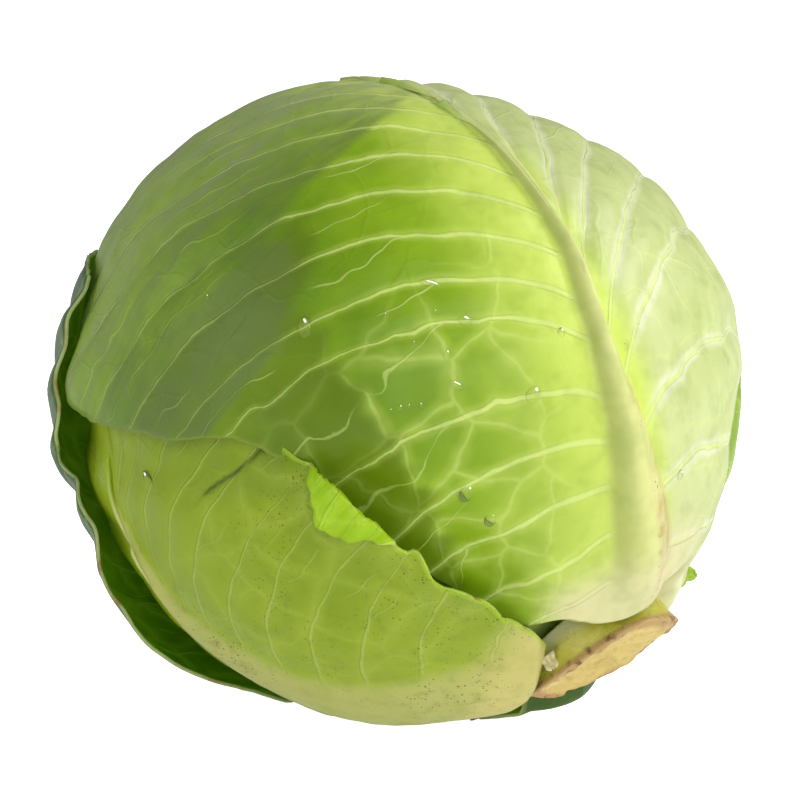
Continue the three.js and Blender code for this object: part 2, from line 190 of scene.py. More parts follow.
# %% The lower leaf
LOWER = dict(
    turn=150, rib_from=-74.2, rib_to=60, node="leaf_lower", seed=12, tall=0.85, rib_wide=2.1, fade=(-6, 14),
    rib=[(-77, 0), (-65, 5), (-54, 11.5), (-42, 14), (-30, 14.5), (-20, 13), (-11, 9), (-3, 4), (10, -1),
         (60, -2)],
    right=[(-13.6, -75.0), (-20, -70), (-26, -62), (-30, -55), (-30, -50), (-33, -44), (-33.9, -40),
           (-35.4, -34.5), (-37, -28), (-37.9, -23.5), (-38, -19.5), (-37.6, -15), (-37.4, -12),
           (-37.6, -9.8), (-38.4, -7), (-41, -2), (-46, 5), (-50, 14), (-51, 24), (-48, 34), (-43, 44),
           (-35, 52), (-26, 58), (-17, 61), (-8, 62)],
    left=[(13.6, -75.0), (29, -70), (43, -55), (52, -38), (57, -18), (58, 2), (54, 22), (44, 40), (28, 54),
          (8, 61)],
    veins_right=[(-74.2, 0), (-68, 2), (-61, 4), (-54, 5.6), (-47, 7), (-40, 8.2), (-32, 9.6), (-26, 12.2),
                 (-20, 14.6), (-14, 16.2), (-8, 17.6), (-2, 19), (6, 20.3), (16, 21.5), (28, 22.6),
                 (42, 23.4), (60, 24)],
    veins_left=[(-74.2, 0), (-66, 1), (-56, 2), (-46, 3), (-36, 4), (-26, 4.9), (-16, 5.8), (-6, 6.6),
                (6, 7.3), (18, 7.9), (34, 8.5), (60, 9)],
)
MARGIN = [(-66, -20), (-58, -28), (-53, -31), (-49, -29), (-44, -34), (-38, -35), (-32, -35), (-28, -32),
          (-23, -36)]
TEAR = np.array([(-36, -13), (-33.1, -11.7), (-30.3, -11.4), (-26.9, -10.8), (-24, -9.8), (-20.9, -9)])
def tear_line(x, y):
    # how far a place on the leaf is from the tear, in degrees, and on which side of it
    far, side = np.full(np.shape(x), 99.0), np.zeros(np.shape(x))
    for a, b in zip(TEAR, TEAR[1:]):
        t = np.clip(((x - a[0]) * (b - a)[0] + (y - a[1]) * (b - a)[1]) / ((b - a) @ (b - a)), 0, 1)
        dx, dy = x - a[0] - t * (b - a)[0], y - a[1] - t * (b - a)[1]
        d = np.hypot(dx, dy)
        side = np.where(d < far, np.sign(dy) * d, side)
        far = np.minimum(far, d)
    return far, side

def lower_level(x, y):
    under = (y - x - 23) / math.sqrt(2)
    left_of = (x + 37 + y + 19) / math.sqrt(2)
    dip = -3.7 * step(-13, -3, under) * step(1, 9, left_of)
    inside = x - look_up(MARGIN, y)
    free = step(-72, -62, y) * step(-20, -25, y)
    raised = (2.0 + 0.9 * np.sin(y * 0.8 + 1)) * np.exp(-((inside / 4.5) ** 2)) * free
    far, side = tear_line(x, y)
    tear = -0.7 * step(0.9, 0.1, far) - 0.5 * step(0, 0.6, side) * step(7, 0, far)
    return 0.35 * step(-22, -36, x) + dip + tear + raised

# painted shade: a thin dark line along the tear
def lower_tear_shade(x, y):
    return step(0.5, 0.1, tear_line(x, y)[0])

LOWER["level"], LOWER["tear_shade"] = lower_level, lower_tear_shade
print("lower leaf traced with", len(LOWER["left"]) + len(LOWER["right"]), "edge points")

# %% [markdown]
# The dark outermost leaf lies under the others. On the left it stands off the head by up to nearly a
# centimetre, and its edge ripples there. The lower leaf lies over it where the two meet.

# %% The dark outer leaf
TABLE_LEVEL = 3.2  # mm, how far out the leaf that touches the table lies
OUTER = dict(
    turn=240, rib_from=-77.2, rib_to=68, node="leaf_outer", seed=13, tall=0.8,
    rib=[(-77, 0), (-40, 3), (0, 2), (68, -6)],
    right=[(-13.6, -77.6), (-15, -66), (-16, -55), (-19, -46), (-26, -38), (-36, -31), (-46, -27.5),
           (-56, -24), (-62, -18), (-66, -12), (-69, -5), (-72, 2), (-79, 5), (-81, 12), (-80, 20),
           (-76, 26), (-82, 29), (-84, 36), (-84, 44), (-86, 54), (-84, 64), (-73, 72), (-56, 75),
           (-34, 74), (-18, 70)],
    left=[(13.6, -77.6), (29, -70), (43, -56), (55, -38), (63, -18), (66, 4), (62, 26), (51, 44), (34, 59),
          (10, 69)],
    veins_right=[(-77.2, 0), (-66, 2), (-57, 4), (-49, 6.5), (-41, 9), (-33, 11.2), (-25, 13), (-17, 15),
                 (-9, 17), (0, 18.8), (9, 20.2), (19, 21.3), (31, 22.2), (46, 22.8), (68, 23)],
    veins_left=[(-77.2, 0), (-66, 1), (-56, 2), (-46, 3), (-36, 3.9), (-26, 4.7), (-16, 5.5), (-6, 6.2),
                (6, 6.9), (19, 7.6), (36, 8.3), (68, 9)],
)
STAND_OFF = [(-48, 3.2), (-34, 3.4), (-29, 4.6), (-24, 7.2), (-19, 8.6), (-8, 9.5), (-2, 9.1), (4, 8),
             (10, 6), (16, 5.3), (22, 4.8), (27, 6.4), (31, 7.2), (42, 6.1), (55, 5), (64, 3.6), (72, 2.4)]
def outer_level(x, y):
    ripple = 0.5 * np.sin(y * 0.45 + 1) * step(-60, -74, x)
    return TABLE_LEVEL + (look_up(STAND_OFF, y) - TABLE_LEVEL) * step(-44, -66, x) + ripple

OUTER["level"] = outer_level
OUTER_EDGE = [(-77, -14), (-66, -15), (-55, -16), (-46, -19), (-38, -26), (-31, -36), (-27.5, -46),
              (-24, -56), (-18, -62)]
def under_outer(x, y):
    ox, oy = leaf_place(OUTER["turn"], leaf_direction(LOWER["turn"], x, y))
    return step(0, 7, ox - look_up(OUTER_EDGE, oy) + 10)

LOWER["covered"] = under_outer
print("outer leaf traced with", len(OUTER["left"]) + len(OUTER["right"]), "edge points")

# %% [markdown]
# Two more leaves close the head. The right one slips under the front leaf's edge, and the crown leaf
# lies below all the others and shows only from behind.

# %% The right leaf and the crown leaf
RIGHT = dict(
    turn=-45, rib_from=-78.6, rib_to=72, node="leaf_right", seed=14, tall=0.85,
    rib=[(-77, 0), (-30, -2), (20, 1), (72, 4)],
    left=[(13.4, -78.6), (28, -72), (42, -58), (55, -42), (65, -22), (70, 0), (68, 24), (60, 44), (42, 60),
          (16, 71)],
    right=[(-13.4, -78.6), (-29, -70), (-44, -54), (-58, -34), (-67, -10), (-69, 14), (-62, 36), (-46, 55),
           (-24, 68), (-8, 72)],
    veins_left=[(-78.6, 0), (-67, 1), (-58, 2), (-48, 3), (-38, 3.9), (-28, 4.7), (-18, 5.5), (-8, 6.2),
                (4, 6.9), (18, 7.6), (36, 8.3), (72, 9)],
    veins_right=[(-78.6, 0), (-67, 1), (-57, 2), (-47, 3), (-37, 3.9), (-27, 4.7), (-17, 5.5), (-7, 6.2),
                 (5, 6.9), (19, 7.6), (37, 8.3), (72, 9)],
)
def right_level(x, y):
    fx, fy = leaf_place(FRONT["turn"], leaf_direction(-45, x, y))
    return -0.2 - 3 * np.maximum(step(-8, -2, fx - look_up(FRONT_EDGE, fy)), step(60, 72, fy))

RIGHT["level"] = right_level

CROWN = dict(
    turn=186, rib_from=-77.2, rib_to=92, node="leaf_crown", seed=15, tall=0.3,
    rib=[(-77, 0), (0, 2), (50, -2), (92, 0)],
    left=[(13, -77), (29, -69), (45, -52), (58, -32), (66, -8), (68, 20), (66, 46), (58, 70), (40, 86),
          (12, 93)],
    right=[(-13, -77), (-29, -69), (-45, -52), (-58, -32), (-66, -8), (-68, 20), (-64, 46), (-54, 68),
           (-36, 84), (-10, 93)],
    veins_left=[(-77.2, 0), (-66, 1), (-56, 2), (-45, 3), (-34, 3.9), (-23, 4.7), (-12, 5.5), (0, 6.2),
                (14, 6.9), (30, 7.6), (52, 8.3), (92, 9)],
    veins_right=[(-77.2, 0), (-66, 1), (-55, 2), (-44, 3), (-33, 3.9), (-22, 4.7), (-11, 5.5), (1, 6.2),
                 (15, 6.9), (31, 7.6), (53, 8.3), (92, 9)],
    level=lambda x, y: np.full(np.shape(x), -7.0),
)
LEAVES = [FRONT, LOWER, OUTER, RIGHT, CROWN]
print("leaves:", ", ".join(leaf["node"] for leaf in LEAVES))

# %% [markdown]
# Rows of the leaf's grid run along its side veins, from one edge over the midrib to the other.
# A real side vein leaves the midrib steeply towards the crown and then bends outwards, so each
# row is a short Bezier curve. Because rows follow veins, the row number also tells the material
# how near the closest vein is, and thin vein lines stay sharp at any mesh size.

# %% Lay a leaf out flat
def rib_half_width(y):
    return 0.9 + 6.0 * step(75, -85, y) ** 1.5 + 6 * np.exp(-(np.maximum(y, -79) + 78) / 4.0)

RIB_COLUMNS = 7  # columns of the grid on each half of the midrib
FINE_STEPS = 1200  # places along the midrib at which a row could start
TEETH = [(2, 0.22), (9, 0.45)]  # the ragged edge: rows between two teeth, and their depth in degrees
LEAVE_RIB, REACH_EDGE = 0.2, 0.48  # how far a row keeps its direction at either end, in parts of its length

def lay_out(leaf, rows, side_columns):
    dense = np.linspace(leaf["rib_from"], leaf["rib_to"], FINE_STEPS + 1)
    speed = np.zeros(FINE_STEPS)
    at = {}
    for side in ("left", "right"):
        veins = np.array(leaf["veins_" + side], float)
        index = np.interp(dense, veins[:, 0], veins[:, 1])
        kernel = np.hanning(41) / np.hanning(41).sum()
        index = np.convolve(np.pad(index, 20, mode="edge"), kernel, "valid")
        index = (index - index[0]) * veins[-1, 1] / (index[-1] - index[0])
        edge = smooth_line(leaf[side], np.clip(index, 0, len(leaf[side]) - 1))
        speed += np.linalg.norm(np.diff(edge, axis=0), axis=1)
        at[side] = index
    speed += 1.2 * np.diff(dense)
    run = np.concatenate([[0], np.cumsum(speed)])
    y = np.interp(np.linspace(0, run[-1], rows + 1), run, dense)
    x = look_up(leaf["rib"], y)
    sides = {}
    r = np.random.default_rng(leaf["seed"])
    for side, sign in (("left", 1), ("right", -1)):
        veins = np.array(leaf["veins_" + side], float)
        end = smooth_line(leaf[side], np.clip(np.interp(y, dense, at[side]), 0, len(leaf[side]) - 1))
        vein = np.interp(y, veins[:, 0], np.arange(len(veins)))
        gap = end - np.stack([x, y], 1)
        span = np.linalg.norm(gap, axis=1)
        row_number, ragged = np.arange(rows + 1), 0
        for apart, depth in TEETH:
            at_row = np.arange(0, rows + apart, apart)
            ragged = ragged + np.interp(row_number, at_row, r.normal(0, depth, len(at_row)))
        ragged = ragged * step(0, 12, row_number)
        end = end + gap / span[:, None] * ragged[:, None]
        rise = np.degrees(np.arctan2(gap[:, 1], sign * gap[:, 0]))
        t = (y - y[0]) / (y[-1] - y[0])
        bend = step(0, 0.22, t) * step(1.0, 0.72, t)
        out_of_rib = np.radians(np.minimum(rise + 36 * bend, 88))
        into_edge = np.radians(rise - 20 * bend)
        p0 = np.stack([x, y], 1)
        p1 = p0 + LEAVE_RIB * span[:, None] * np.stack([sign * np.cos(out_of_rib), np.sin(out_of_rib)], 1)
        p2 = end - REACH_EDGE * span[:, None] * np.stack([sign * np.cos(into_edge), np.sin(into_edge)], 1)
        width = rib_half_width(y) * leaf.get("rib_wide", 1)
        first = np.minimum(width / (0.6 * span), 0.35)
        s_rib = np.linspace(0, 1, RIB_COLUMNS + 1)[1:][None, :] * first[:, None]
        rest = np.linspace(0, 1, side_columns + 1)[1:]
        s_rest = first[:, None] + (1 - first[:, None]) * (0.75 * rest + 0.25 * rest ** 2)[None, :]
        s = np.concatenate([s_rib, s_rest], 1)[..., None]
        curve = ((1 - s) ** 3 * p0[:, None] + 3 * s * (1 - s) ** 2 * p1[:, None]
                 + 3 * s * s * (1 - s) * p2[:, None] + s ** 3 * end[:, None])
        sides[side] = dict(curve=curve, s=s[..., 0], vein=vein)
    flat = [sides["left"]["curve"][:, ::-1], np.stack([x, y], 1)[:, None], sides["right"]["curve"]]
    return np.concatenate(flat, 1), sides, y

# %% [markdown]
# The flat leaf is bent round the head. A grid made by bmesh is the cloth it is cut from: its
# vertices are moved by the formula, which keeps every face a clean four-sided one. The thickness
# of the midrib, the swelling between veins and the slow waves are all real shape, not only paint.

# %% Bend a leaf round the head
FLAT_SPOT = 24  # mm, how far the pressed resting place can reach from the origin
CM_PER_DEGREE = 0.15
FOOT_SINK = 5.5  # mm that the foot of a leaf runs down to the stem
WAVES = [0.34, 0.20, 0.045]  # mm, how tall the slow, the lumpy and the fine unevenness is
# place along the midrib and its height in mm
RIB_TALL = [(-76, 3.2), (-66, 3.9), (-45, 3.3), (0, 2.1), (30, 1.1), (60, 0.4)]

def mesh_from(bm, name):
    mesh = bpy.data.meshes.new(name)
    bm.to_mesh(mesh)
    bm.free()
    return mesh

def new_piece(name, mesh):
    mesh.polygons.foreach_set("use_smooth", np.ones(len(mesh.polygons), bool))
    piece = bpy.data.objects.new(name, mesh)
    bpy.context.collection.objects.link(piece)
    return piece

def add_wall(piece, thick, offset):
    wall = piece.modifiers.new("thickness", "SOLIDIFY")
    wall.thickness = thick * MM
    wall.offset = offset
    return wall

def grid_mesh(name, rows, columns):
    bm = bmesh.new()
    bmesh.ops.create_grid(bm, x_segments=columns, y_segments=rows, size=0.5)
    co = np.array([v.co[:] for v in bm.verts])
    mesh = mesh_from(bm, name)
    column = np.rint((co[:, 0] + 0.5) * columns).astype(int)
    row = np.rint((co[:, 1] + 0.5) * rows).astype(int)
    return mesh, row, column

def put_value(mesh, name, values):
    attribute = mesh.attributes.new(name, "FLOAT", "POINT")
    attribute.data.foreach_set("value", np.asarray(values, np.float32))

def row_lengths(points):
    # how far each point lies from the first one of its row
    steps = np.linalg.norm(np.diff(points, axis=1), axis=2)
    return np.concatenate([np.zeros((len(points), 1)), np.cumsum(steps, 1)], 1)

def build_leaf(leaf, rows, side_columns, swell=0.55, fold=None, thick=1.0):
    flat, sides, y_rib = lay_out(leaf, rows, side_columns)
    n_cols = flat.shape[1]
    middle = (n_cols - 1) // 2
    x, y = flat[..., 0], flat[..., 1]
    shown_x, lift = (x, 0.0) if fold is None else fold(x, y)
    u = leaf_direction(leaf["turn"], shown_x, y)
    out_along = [sides["left"]["s"][:, ::-1], np.zeros((rows + 1, 1)), sides["right"]["s"]]
    out_along = np.concatenate(out_along, 1)
    left_vein, right_vein = sides["left"]["vein"], sides["right"]["vein"]
    on_left = np.arange(n_cols)[None, :] < middle
    vein = np.where(on_left, left_vein[:, None], right_vein[:, None])
    # distances over the leaf in millimetres
    ground = LEAF_RADIUS * leaf_direction(leaf["turn"], x, y)
    left_part, right_part = row_lengths(ground[:, middle::-1]), row_lengths(ground[:, middle:])
    from_rib = np.concatenate([left_part[:, ::-1], right_part[:, 1:]], 1)
    width = np.radians(rib_half_width(y_rib) * leaf.get("rib_wide", 1)) * LEAF_RADIUS
    width = np.repeat(width[:, None], n_cols, 1)
    step_mm = np.linalg.norm(np.gradient(ground, axis=0), axis=2)
    row_mm = step_mm / np.maximum(np.abs(np.gradient(vein, axis=0)), 1e-4)
    row_mm = np.clip(row_mm, 2, 40)
    to_tip = np.arange(rows, -1, -1)[:, None] * np.maximum(step_mm, 0.4)
    to_edge = np.minimum(np.where(on_left, from_rib[:, :1], from_rib[:, -1:]) - from_rib, to_tip)
    ribness = np.clip(1 - (from_rib / width) ** 2, 0, 1)
    fade = step(leaf["fade"][1], leaf["fade"][0], y) if "fade" in leaf else 1.0
    rib = leaf["tall"] * look_up(RIB_TALL, y) * (ribness ** 1.3) * fade
    foot = 0.5 * step(-66, -76, y) * step(3.0, 1.0, from_rib / width)
    frac = vein - np.floor(vein)
    puff = np.sin(np.pi * frac) ** 0.7 - 0.55
    puff = puff * swell * np.clip(row_mm / 11, 0.3, 1.3) * step(2, 16, from_rib - width) * step(-72, -60, y)
    puff = puff * np.where(on_left, 1.0, leaf.get("right_swell", 1.0))
    ends = step(0, 0.5, vein) * step(0, 9, to_edge)
    slow, lumpy, fine = WAVES
    waves = (slow * slow_wave(ground) + lumpy * lump_wave(ground) * step(0, 20, from_rib)
             + fine * fine_wave(ground))
    level = leaf["level"](x, y)
    height = head_radius(u) + level + rib + foot + puff * ends + waves * step(-76, -66, y) + lift
    height = height - FOOT_SINK * step(-74.5, -79.5, y - leaf.get("sink_side", 0.22) * np.abs(x))
    points = u * height[..., None]
    points[..., 2] += HEAD_HEIGHT
    if leaf is OUTER:
        # the resting place is pressed almost flat
        pressed = (np.hypot(points[..., 0], points[..., 1]) < FLAT_SPOT) & (points[..., 2] < 2)
        floor = np.where(pressed, np.maximum(0, points[..., 2] * 0.2), 0.0)
        points[..., 2] = np.where(pressed, floor, points[..., 2])
    else:
        covered = leaf["covered"](x, y) if "covered" in leaf else 1.0
        floor = np.maximum(0, 0.7 + (TABLE_LEVEL - level - 0.7) * covered) + 0.3
    points[..., 2] = np.maximum(points[..., 2], floor)
    mesh, row, column = grid_mesh(leaf["node"] + "_blade", rows, n_cols - 1)
    column = n_cols - 1 - column
    mesh.vertices.foreach_set("co", (points[row, column] * MM).astype(np.float32).ravel())
    # leaf maps: one counts the veins, one is the flat sheet in centimetres
    loops = np.empty(len(mesh.loops), int)
    mesh.loops.foreach_get("vertex_index", loops)
    loop_row, loop_col = row[loops], column[loops]
    face_left = np.repeat(loop_col.reshape(-1, 4).min(1) < middle, 4)
    vein_here = np.where(face_left, left_vein[loop_row], right_vein[loop_row])
    count = mesh.uv_layers.new(name="veins")
    pairs = np.stack([out_along[loop_row, loop_col], vein_here], 1)
    count.data.foreach_set("uv", pairs.astype(np.float32).ravel())
    sheet = mesh.uv_layers.new(name="sheet")
    pairs = flat[loop_row, loop_col] * CM_PER_DEGREE
    sheet.data.foreach_set("uv", pairs.astype(np.float32).ravel())
    on_rib = np.where(on_left, 1, -1) * from_rib / width
    for name, values in (("from_rib", from_rib), ("to_edge", to_edge), ("row_mm", row_mm), ("along", y),
                         ("sideways", x), ("ribness", ribness * fade), ("on_rib", on_rib)):
        put_value(mesh, name, values[row, column])
    for name in ("tear_shade", "dark", "painted_sheen"):
        values = leaf[name](x, y) if name in leaf else x * 0
        put_value(mesh, name, values[row, column])
    mesh.update()
    outward = sum((f.normal.dot(f.center - Vector((0, 0, HEAD_HEIGHT * MM))) > 0) for f in mesh.polygons)
    if outward < len(mesh.polygons) / 2:
        mesh.flip_normals()
    blade = new_piece(leaf["node"] + "_blade", mesh)
    wall = add_wall(blade, thick, -1)
    wall.material_offset = 1
    wall.material_offset_rim = 2
    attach(blade, "root")
    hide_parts(leaf["node"])
    print(leaf["node"], rows, "rows", n_cols - 1, "columns")
    return blade

# %% [markdown]
# The lower leaf's upper edge has curled outwards in one place, so that a flap of its paler inner
# side shows. The blade runs on past the fold line, turns over a small round bend and comes back
# over itself. The fold is worked out on the flat leaf, from the distance past the fold line.

# %% The curled flap
FLAP_LINE = [(-42, -33.6), (-38, -34.8), (-34, -35.8), (-29, -36.8), (-25.5, -37.6), (-22.5, -38),
             (-19.5, -38)]
FLAP_WIDTH = [(-41, 0), (-39, 1.6), (-37, 3.2), (-34, 5.4), (-31, 6.8), (-28.5, 8.2), (-26.5, 6.4),
              (-24, 4.6), (-22, 3), (-20, 0)]
DEG_MM = 1.5  # millimetres per degree on the head
BEND_RADIUS, BEND_TURN = 1.3, np.pi * 0.83  # the small round bend at the fold, mm and radians

def fold_flap(x, y):
    line = look_up(FLAP_LINE, y)
    beyond = np.maximum(0, line - x) * DEG_MM * (step(-42, -39, y) * step(-18, -20, y))
    arc = BEND_RADIUS * BEND_TURN
    angle = np.minimum(beyond, arc) / BEND_RADIUS
    straight = np.maximum(0, beyond - arc)
    out = BEND_RADIUS * np.sin(angle) + straight * np.cos(BEND_TURN)
    up = BEND_RADIUS * (1 - np.cos(angle)) + straight * np.sin(BEND_TURN)
    near = np.exp(-((x - line) / 4.0) ** 2) * step(-42, -36, y) * step(-18, -23, y)
    crumple = (0.45 * np.sin(y * 1.15 + 1) + 0.3 * np.sin(y * 2.7 + 0.3 * x)) * np.minimum(beyond / 5, 1)
    return np.where(beyond > 0, line - out / DEG_MM, x), up + 1.2 * near + crumple

def widen(points):
    # the blade is cut wider where the flap is, so the same edge serves for the fold
    return [(px - float(look_up(FLAP_WIDTH, py)) if px < -30 else px, py) for px, py in points]

LOWER["right"] = widen(LOWER["right"])
print("the flap is up to", max(wide for y, wide in FLAP_WIDTH), "degrees wide")

# %% [markdown]
# Now the five leaves are built. The front one gets the most rows, because it fills the photo.

# %% Build the leaves
front = build_leaf(FRONT, 262, 82)
lower = build_leaf(LOWER, 240, 64, fold=fold_flap)
outer = build_leaf(OUTER, 210, 56, swell=0.7, thick=0.9)
right = build_leaf(RIGHT, 190, 52)
crown = build_leaf(CROWN, 150, 42)

# %% [markdown]
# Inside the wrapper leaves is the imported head. Only slivers of it can be seen between leaves, at
# the crown, where its topmost leaves end in steps that wind round the tip.

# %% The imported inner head
def build_inner_head():
    bm = bmesh.new()
    bmesh.ops.create_icosphere(bm, subdivisions=6, radius=1.0)
    u = np.array([v.co[:] for v in bm.verts])
    u /= np.linalg.norm(u, axis=1, keepdims=True)
    polar = np.degrees(np.arccos(np.clip(u @ STEM, -1, 1)))
    turn = np.degrees(np.arctan2(u @ SIDE, u @ ACROSS))
    wound = ((turn + 1.6 * (180 - polar)) % 120) / 120
    level = -10 - 1.5 * wound * step(0, 12, 180 - polar) * step(100, 125, polar) * step(1.0, 0.97, wound)
    ground = LEAF_RADIUS * u
    height = head_radius(u) + level + 0.3 * slow_wave(ground) + 0.2 * lump_wave(ground)
    points = u * height[:, None]
    points[:, 2] += HEAD_HEIGHT
    points[:, 2] = np.maximum(points[:, 2], TABLE_LEVEL - level)
    for v, p in zip(bm.verts, points):
        v.co = p * MM
    mesh = mesh_from(bm, "packed_leaves")
    put_value(mesh, "wound", wound)
    ball = new_piece("packed_leaves", mesh)
    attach(ball, "root")
    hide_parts("inner_head")
    print("packed inner head", len(mesh.vertices), "vertices")
    return ball

inner_head = build_inner_head()

# %% [markdown]
# The stem was cut off with a knife: a short stump with an uneven, slightly hollow cut face, a dry
# brown rim, and flats on its sides where the lowest leaves were trimmed away. Spinning a profile
# gives the stump, and each vertex is then moved by how far round it lies, so that the flats, the
# bulges between them and the slanting cut are all in the shape.

# %% The cut stem
def around_bump(turn, at, wide):
    return np.exp(-(((turn - at + 540) % 360 - 180) ** 2) / (2 * wide * wide))

def stump_rim(t):
    # how far the cut's rim lies from the head's centre
    return (88.4 + 2.8 * np.cos(np.radians(t)) + 1.2 * np.sin(np.radians(t)) - 1.6 * around_bump(t, 185, 24)
            + 0.5 * np.sin(np.radians(3 * t) + 1))

# where round the stump a flat or a bulge lies, how wide it is in degrees, and its height in mm
FLATS = [(100, 20, -1.5), (60, 14, 1.0), (140, 12, 1.1), (250, 18, -1.1), (290, 14, 0.9), (335, 14, -0.8)]
def stump_wide(t):
    radius = 20.9 - 1.9 * np.cos(np.radians(t))
    for at, wide, mm in FLATS:
        radius = radius + mm * around_bump(t, at, wide)
    return radius

STUMP_FOOT = 78  # mm from the head's centre
STEPS_ROUND = 240

def build_stem():
    profile = ([(0.0, 0.02 + 0.93 * i / 4) for i in range(5)] + [(i / 26, 1.0) for i in range(1, 26)]
               + [(1.0, 1.0), (1.01, 0.99), (1.02, 0.97), (1.025, 0.94)]
               + [(1.03, 0.94 - 0.92 * i / 22) for i in range(1, 23)])
    bm = bmesh.new()
    verts = [bm.verts.new((r, 0, z)) for z, r in profile]
    edges = [bm.edges.new(pair) for pair in zip(verts, verts[1:])]
    bmesh.ops.spin(bm, geom=verts + edges, cent=(0, 0, 0), axis=(0, 0, 1), angle=2 * math.pi,
                   steps=STEPS_ROUND, use_merge=True, use_duplicate=False)
    bmesh.ops.remove_doubles(bm, verts=bm.verts, dist=1e-5)
    for end in (0.0, 1.03):
        ring = [e for e in bm.edges if e.is_boundary and abs(e.verts[0].co.z - end) < 1e-4]
        if ring:
            bmesh.ops.contextual_create(bm, geom=ring)
    co = np.array([v.co[:] for v in bm.verts])
    t = np.degrees(np.arctan2(co[:, 1], co[:, 0]))
    along, part = np.minimum(co[:, 2], 1), np.hypot(co[:, 0], co[:, 1])
    rim = stump_rim(t)
    height = STUMP_FOOT + (rim - STUMP_FOOT) * along
    spread = np.tan(np.radians(13.5 - 1.1 * np.cos(np.radians(t))))
    flank = np.minimum(stump_wide(t), height * spread) + 0.5 * step(0.75, 1, along)
    radius = part * flank
    face = step(0.99, 1.03, co[:, 2])
    hollow = step(1, 0.2, part)
    height = height + face * (0.5 - 1.1 * hollow + 0.35 * np.sin(radius * 1.9 + t / 50))
    p = height[:, None] * STEM + radius[:, None] * (np.cos(np.radians(t))[:, None] * ACROSS
                                                     + np.sin(np.radians(t))[:, None] * SIDE)
    rough = 0.28 * lump_wave(p * 1.4) + 0.16 * fine_wave(p) + 0.10 * fine_wave(p * 2.3)
    outward = np.where(face[:, None] > 0.5, STEM, p / np.linalg.norm(p, axis=1, keepdims=True) - STEM * 0.9)
    p = p + outward * rough[:, None] * step(0.1, 0.5, along)[:, None]
    p[:, 2] += HEAD_HEIGHT
    for v, q in zip(bm.verts, p):
        v.co = q * MM
    bmesh.ops.recalc_face_normals(bm, faces=bm.faces)
    mesh = mesh_from(bm, "cut_stem")
    put_value(mesh, "cut_face", face)
    put_value(mesh, "out_to_rim", part)
    put_value(mesh, "up_stump", along)
    stump = new_piece("cut_stem", mesh)
    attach(stump, "root")
    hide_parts("stem")
    print("cut stem", len(mesh.polygons), "faces")
    return stump

stem = build_stem()

# %% [markdown]
# Every leaf material shares one set of masks: how near a side vein is, how near the fine net of
# small veins, and a soft glow of paler flesh along the veins. It is a node group, built once. The
# vein count on the leaf map gives the distance to the nearest side vein in millimetres. So that the
# masks read like sums, an output of a node can be added, subtracted and multiplied.

# %% Colour and node helpers
def srgb(r, g, b):
    def lin(c):
        c /= 255
        return c / 12.92 if c <= 0.04045 else ((c + 0.055) / 1.055) ** 2.4
    return (lin(r), lin(g), lin(b), 1.0)

class Value:
    def __init__(self, nodes, socket):
        self.nodes, self.socket = nodes, socket
    def __add__(self, other):
        return self.nodes.math("ADD", self, other)
    def __sub__(self, other):
        return self.nodes.math("SUBTRACT", self, other)
    def __rsub__(self, other):
        return self.nodes.math("SUBTRACT", other, self)
    def __mul__(self, other):
        return self.nodes.math("MULTIPLY", self, other)

class Nodes:
    def __init__(self, tree):
        self.tree = tree
    def add(self, kind, **settings):
        node = self.tree.nodes.new(kind)
        for key, value in settings.items():
            setattr(node, key, value)
        return node
    def put(self, node, **values):
        for name, value in values.items():
            self.fill(node.inputs[name.replace("_", " ")], value)
    def fill(self, socket, value):
        if isinstance(value, Value):
            self.tree.links.new(value.socket, socket)
        else:
            socket.default_value = value
    def out(self, node, name=0):
        return Value(self, node.outputs[name])
    def math(self, how, a, b=None, clamp=False):
        node = self.add("ShaderNodeMath", operation=how, use_clamp=clamp)
        self.fill(node.inputs[0], a)
        if b is not None:
            self.fill(node.inputs[1], b)
        return self.out(node)
    def ramp(self, value, low, high, to_low=0.0, to_high=1.0):
        node = self.add("ShaderNodeMapRange", interpolation_type="SMOOTHSTEP")
        self.put(node, Value=value, From_Min=low, From_Max=high, To_Min=to_low, To_Max=to_high)
        return self.out(node)
    def mix(self, factor, a, b):
        node = self.add("ShaderNodeMix", data_type="RGBA", clamp_factor=True)
        for place, value in ((0, factor), (6, a), (7, b)):
            self.fill(node.inputs[place], value)
        return self.out(node, 2)
    def value(self, name):
        return self.out(self.add("ShaderNodeAttribute", attribute_name=name), "Fac")
    def noise(self, vector, scale, detail=2.0, rough=0.5, output="Fac"):
        node = self.add("ShaderNodeTexNoise")
        self.put(node, Vector=vector, Scale=scale, Detail=detail, Roughness=rough)
        return self.out(node, output)
    def place(self):
        return self.out(self.add("ShaderNodeTexCoord"), "Object")
    def relief(self, height, strength, distance):
        node = self.add("ShaderNodeBump")
        self.put(node, Height=height, Strength=strength, Distance=distance)
        return self.out(node)
    def group(self, tree, **values):
        node = self.add("ShaderNodeGroup", node_tree=tree)
        self.put(node, **values)
        return {socket.name: Value(self, socket) for socket in node.outputs}

def new_group(name, inputs, outputs):
    group = bpy.data.node_groups.new(name, "ShaderNodeTree")
    for label, default in inputs:
        socket = group.interface.new_socket(label, in_out="INPUT", socket_type="NodeSocketFloat")
        socket.default_value = default
    for label in outputs:
        group.interface.new_socket(label, in_out="OUTPUT", socket_type="NodeSocketFloat")
    n = Nodes(group)
    given = n.add("NodeGroupInput")
    return group, n, {label: n.out(given, label) for label, default in inputs}, n.add("NodeGroupOutput")

def new_material(name):
    material = bpy.data.materials.new(name)
    material.use_nodes = True
    return material, Nodes(material.node_tree), material.node_tree.nodes["Principled BSDF"]

# %% [markdown]
# The vein masks count along the leaf's own map, so a side vein stays as thin at the edge of a leaf as
# a real one does. Forks and the net of cells fill the space between the side veins.

# %% Vein masks
THIN_VEIN = 0.42  # mm, a side vein's width near the edge of the leaf
WOBBLE = 0.13  # how far a side vein strays, in parts of the gap between two veins

